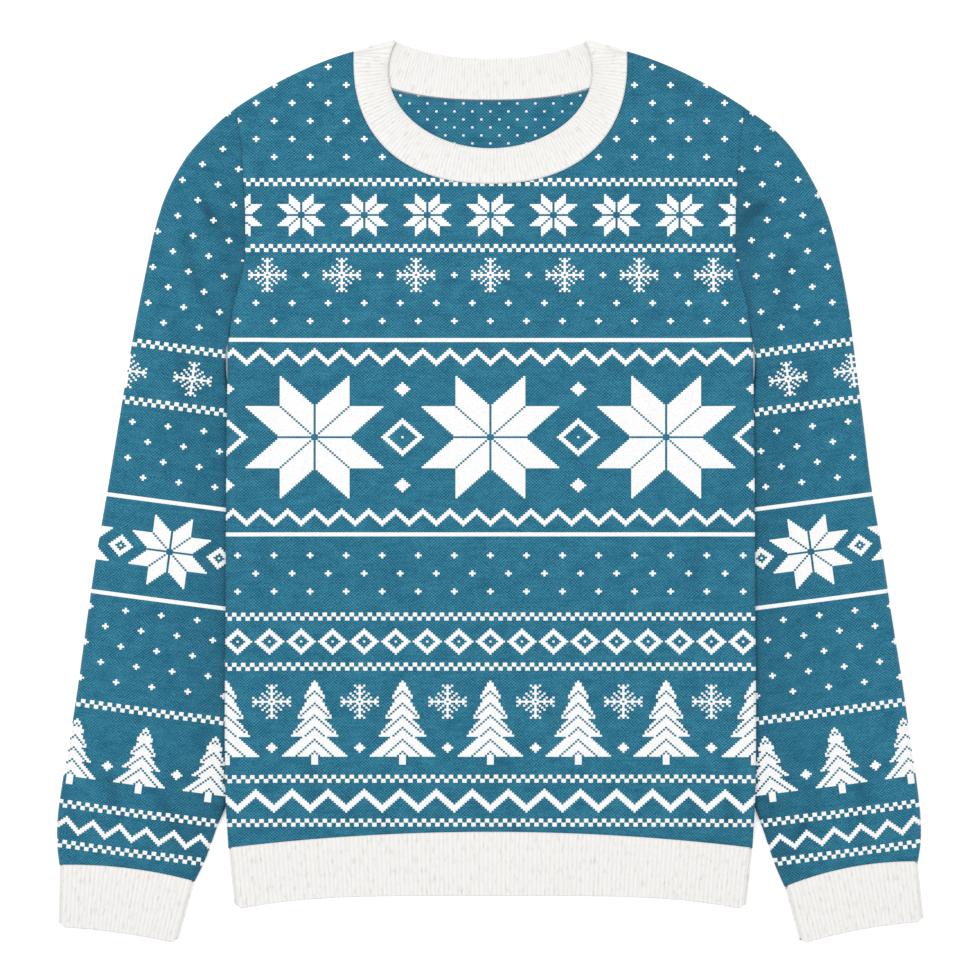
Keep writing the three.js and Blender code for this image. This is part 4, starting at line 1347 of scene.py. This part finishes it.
@dataclass(frozen=True)
class Neckband(Band):
    """The neckband: the front arc on top, a fold at each shoulder and the back arc on the floor."""

    front_ribs: int = 108
    back_ribs: int = 78
    welt: float = 0.1  # share of the width beside the seam that stays plain

    @staticmethod
    def lengths(line: Array) -> Array:
        """Length of a line up to each of its points."""
        return np.concatenate([[0.0], np.cumsum(np.hypot(*np.diff(line, axis=0).T))])

    @staticmethod
    def arc(x: float, y: float, drop: float, sweep: float, power: float) -> Array:
        """A hanging half superellipse, from left to right."""
        angle = np.radians(sweep) * np.linspace(-1, 1, 401)
        shape = [np.sign(v) * np.abs(v) ** (2 / power) for v in (np.sin(angle), np.cos(angle))]
        return np.stack([x * shape[0], y - drop * shape[1]], 1)

    def squared(self, line: Array, other: Array, share: Array) -> tuple[Array, Array]:
        """Pair the places of two edges so that each rib stands square between them.

        A place of the other edge fits where the way between the two leans equally from both edges.
        The other edge is carried on straight to find it, and the places past its ends crowd up to
        them. Both edges mirror at the middle.

        Args:
            line: One edge, from left to right.
            other: The edge across the band.
            share: Shares of the length of the middle line between the two.

        Returns:
            The places on the one edge and on the other.
        """
        run_on = 60 * (other[0] - other[1]) / np.linalg.norm(other[0] - other[1])
        longer = np.vstack([other[0] + run_on, other, other[-1] + run_on * np.array([-1, 1])])
        ways = [np.gradient(edge, axis=0) for edge in (line, longer)]
        ways = [way / np.linalg.norm(way, axis=1, keepdims=True) for way in ways]
        lean = ((line[:, None] - longer[None]) * (ways[0][:, None] + ways[1][None])).sum(2)
        rows = np.arange(len(line))
        first = np.clip((lean > 0).sum(1) - 1, 0, len(longer) - 2)
        part = lean[rows, first] / (lean[rows, first] - lean[rows, first + 1])
        marks, whole = self.lengths(longer), self.lengths(other)[-1]
        place = marks[first] + part * (marks[first + 1] - marks[first]) - 60
        half = len(line) // 2 + 1
        near = 0.5 * (place[:half] + np.hypot(place[:half], 5))
        near -= near[0] * np.exp(-self.lengths(line)[:half] / 6)
        near = np.maximum.accumulate(near * (whole / 2 / near[-1]))
        place = np.concatenate([near, whole - near[-2::-1]])
        fitted = self.read(other, place)
        middle = self.lengths((line + fitted) / 2)
        wanted = share * middle[-1]
        own = np.interp(wanted, middle, self.lengths(line))
        return self.read(line, own), self.read(other, np.interp(wanted, middle, place))

    def read(self, line: Array, length: Array) -> Array:
        """Read a line at lengths along it."""
        return np.stack([np.interp(length, self.lengths(line), line[:, k]) for k in (0, 1)], -1)

    def build(self, material: bpy.types.Material) -> bpy.types.Object:
        """Carry the ribs round the neck, from the seam to the free edge and back inside."""
        edge_x = 75.78 * np.sin(np.radians(90) * np.linspace(-1, 1, 401))
        back_top = WALL + RIB_RISE
        front_floor = back_top + SEAM
        full = front_floor + WALL + RIB_RISE / 2
        ahead = np.linspace(0, 1, self.front_ribs * self.ribs_fine + 1)
        back = np.linspace(1, 0, self.back_ribs * self.ribs_fine + 1)
        front_free, front_seam = self.squared(
            self.arc(81.6, 336.8, 62.3, 111.77, 2), self.arc(108.5, 344.2, 97.4, 92.5, NECK_POWER), ahead
        )
        back_seam, back_free = self.squared(
            self.arc(108.5, 350.6, 37.5, 90, NECK_POWER),
            np.stack([edge_x, 346.8 + 13.1 * np.abs(edge_x / 75.78) ** 2.3], 1),
            back,
        )
        turns = np.radians([60.0, 30.0, 0.0, -30.0, -60.0])
        n_front, n_back = len(ahead), len(back)
        left, right = np.zeros(5, int), np.full(5, -1)
        seam = np.vstack([front_seam, front_seam[right], back_seam, front_seam[left]])
        free = np.vstack([front_free, front_free[right], back_free, front_free[left]])
        zone = np.repeat([0, 1, 2, 3], [n_front, 5, n_back, 5])
        turn = np.concatenate([np.zeros(n_front), turns, np.zeros(n_back), turns[::-1]])
        phase = np.concatenate(
            [
                ahead * self.front_ribs,
                np.full(5, float(self.front_ribs)),
                self.front_ribs + (1 - back) * self.back_ribs,
                np.full(5, float(self.front_ribs + self.back_ribs)),
            ]
        )
        rib = np.where((zone == 0) | (zone == 2), self.rib(phase) * self.uneven(phase, 7), 0.5)
        outside = np.concatenate([[0.0, 0.03, 0.08], np.linspace(0.12, 0.95, 10), [1.0]])
        inside = outside[::-1]
        share = np.concatenate([outside, [1.0], inside, [0.0]])[:, None]
        n = len(outside)
        depth = np.concatenate([np.zeros(n), [WALL / 2], np.full(n, WALL), [WALL / 2]])[:, None]
        across = free - seam
        long = np.linalg.norm(across, axis=1)
        nose = np.zeros_like(share)
        nose[0], nose[n - 1], nose[n + 1], nose[-2] = RIM, -RIM, -RIM, RIM
        spot = seam + share[..., None] * across + (nose / long)[..., None] * across
        unit = across / long[:, None]
        away = np.stack([-unit[:, 1], unit[:, 0]], 1) * np.sign(unit[:, :1])
        radius = full / 2 - depth * ((full - SEAM) / 2 / WALL)
        on_fold = (zone == 1) | (zone == 3)
        spot = spot + (np.where(on_fold, radius * np.cos(turn), 0))[..., None] * away
        shown = smooth(share, self.welt * 0.8, self.welt * 1.4) * (1 - smooth(share, 0.92, 0.96))
        crest = RIB_RISE * rib - 0.15 * (1 - rib)
        rolled = 0.9 * smooth(share, 0.9, 1.0)
        rise = shown * crest + (1 - shown) * 0.25 - rolled
        is_out = depth == 0
        is_in = depth == WALL
        front_z = front_floor + WALL - depth + np.where(is_out, rise, 0)
        back_z = depth + np.where(is_in, rise, 0) + np.where(is_out, shown * 0.35 * (1 - rib), 0)
        z = np.where(zone == 0, front_z, back_z)
        z = np.where(on_fold, full / 2 + radius * np.sin(turn), z)
        tooth = np.maximum(np.sin(2 * np.pi * 2 * phase), 0) * (zone == 0)
        # The seam edge lies over the cloth of the front, with two linking stitches to a rib
        reach = np.zeros_like(share)
        reach[0] = 1.0
        over = reach * (zone == 0) * (RIM + SEAM + 0.5 + 0.3 * tooth) / long
        spot = spot - over[..., None] * across
        around = np.concatenate([phase, [self.front_ribs + self.back_ribs]]) * 2.0
        rows = np.concatenate([share[:, 0], [0.0]]) * float(long.mean()) / STITCH_HIGH
        piece = self.torus("neckband_knit", np.dstack([spot, z]), around, rows, material)
        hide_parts("neckband")
        return piece


@dataclass(frozen=True)
class Studio:
    """A white sweep of floor under even light, seen straight from above."""

    frame_mm: float = 784.0  # width of the picture on the floor
    middle: tuple[float, float] = (-0.36, 1.54)
    lens_mm: float = 100.0
    sensor_mm: float = 36.0

    def camera(self) -> None:
        """Hang a long lens over the middle of the picture."""
        data = bpy.data.cameras.new("camera")
        data.lens, data.sensor_width = self.lens_mm, self.sensor_mm
        data.clip_end = 20.0
        camera = bpy.data.objects.new("camera", data)
        height = self.frame_mm * self.lens_mm / self.sensor_mm + 3.0
        camera.location = (self.middle[0] * METRES, self.middle[1] * METRES, height * METRES)
        bpy.context.scene.collection.objects.link(camera)
        bpy.context.scene.camera = camera

    def floor(self) -> bpy.types.Object:
        """Lay a white paper floor, lit a little from behind so that it stays white beside the cloth."""
        mesh = bpy.data.meshes.new("floor")
        mesh.from_pydata([(-3, -3, 0), (3, -3, 0), (3, 3, 0), (-3, 3, 0)], [], [(0, 1, 2, 3)])
        material = bpy.data.materials.new("white matt paper sweep")
        material.use_nodes = True
        tree = material.node_tree
        tree.nodes.clear()
        place = add(tree, "TexCoord").outputs["Object"]
        tooth = add(tree, "TexNoise", {"Vector": place, "Scale": 900.0, "Detail": 2.0}).outputs[0]
        bump = add(tree, "Bump", {"Strength": 0.05, "Distance": 0.0001, "Height": tooth}).outputs[0]
        shader = add(
            tree,
            "BsdfPrincipled",
            {
                "Base Color": srgb("#fdfdfd"),
                "Roughness": 0.95,
                "Specular IOR Level": 0.1,
                "Normal": bump,
                "Emission Color": srgb("#ffffff"),
                "Emission Strength": 0.2,
            },
        )
        add(tree, "OutputMaterial", (shader,))
        mesh.materials.append(material)
        floor = bpy.data.objects.new("floor", mesh)
        bpy.context.scene.collection.objects.link(floor)
        return floor

    def lights(self) -> None:
        """Light the room evenly, with one large soft box high on the upper left."""
        world = bpy.data.worlds.new("white room")
        bpy.context.scene.world = world
        world.use_nodes = True
        world.node_tree.nodes["Background"].inputs[0].default_value = (1.0, 1.0, 1.0, 1.0)
        world.node_tree.nodes["Background"].inputs[1].default_value = 0.86
        for name, place, size, power in (
            ("soft_box", (-1.3, 1.1, 2.2), 1.2, 24.0),
            ("fill_box", (1.6, 0.2, 2.4), 1.6, 14.0),
        ):
            data = bpy.data.lights.new(name, "AREA")
            data.shape, data.size, data.energy = "SQUARE", size, power
            light = bpy.data.objects.new(name, data)
            light.location = place
            way = -np.array(place)
            light.rotation_euler = (
                float(np.arccos(-way[2] / np.linalg.norm(way))),
                0.0,
                float(np.arctan2(way[1], way[0]) - np.pi / 2),
            )
            bpy.context.scene.collection.objects.link(light)

    def set_up(self) -> None:
        """Place the floor, the lights and the camera."""
        self.camera()
        self.floor()
        self.lights()
        bpy.context.scene.view_settings.view_transform = "Standard"


def main() -> None:
    """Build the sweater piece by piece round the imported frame."""
    logging.basicConfig(level=logging.INFO, format="%(name)s: %(message)s")
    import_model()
    Studio().set_up()
    ground = KnitFinish("wool jersey, two-colour jacquard").material()
    ribbing = KnitFinish("wool rib, undyed", second="#f1f0ee", fleck_and_shade="#d0cdc9", ribbed=True).material()
    chart, arm_chart = body_chart(), sleeve_chart()
    pieces = [
        Panel(
            "back_knit", "back_panel", (108.5, 349.3, 36.2, 90), False, BACK_CREASES,
            ("floor", "sleeve_left_knit", "sleeve_right_knit"),
        ).build(chart, ground),
        Panel(
            "front_knit", "front_panel", (108.5, 343, 96.2, 92.5), True, FRONT_CREASES, ("back_knit",),
        ).build(chart, ground),
        Sleeve(
            "sleeve_left_knit", "sleeve_left", -1, SLEEVE_LEFT, LEFT_SLEEVE_CREASES,
            Gauge((-291.0, -306.0), -7.5),
        ).build(arm_chart, ground),
        Sleeve(
            "sleeve_right_knit", "sleeve_right", 1, SLEEVE_RIGHT, RIGHT_SLEEVE_CREASES,
            Gauge((289.0, -306.0), 7.5),
        ).build(arm_chart, ground),
        cuff_band("cuff_left_knit", "cuff_left", CUFF_LEFT, -1).build(ribbing),
        cuff_band("cuff_right_knit", "cuff_right", CUFF_RIGHT, 1).build(ribbing),
        hem_band().build(ribbing),
        Neckband().build(ribbing),
    ]
    for piece in pieces:
        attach(piece, "root")
        LOG.info("%s: %d faces", piece.name, len(piece.data.polygons))


if __name__ == "__main__":
    main()
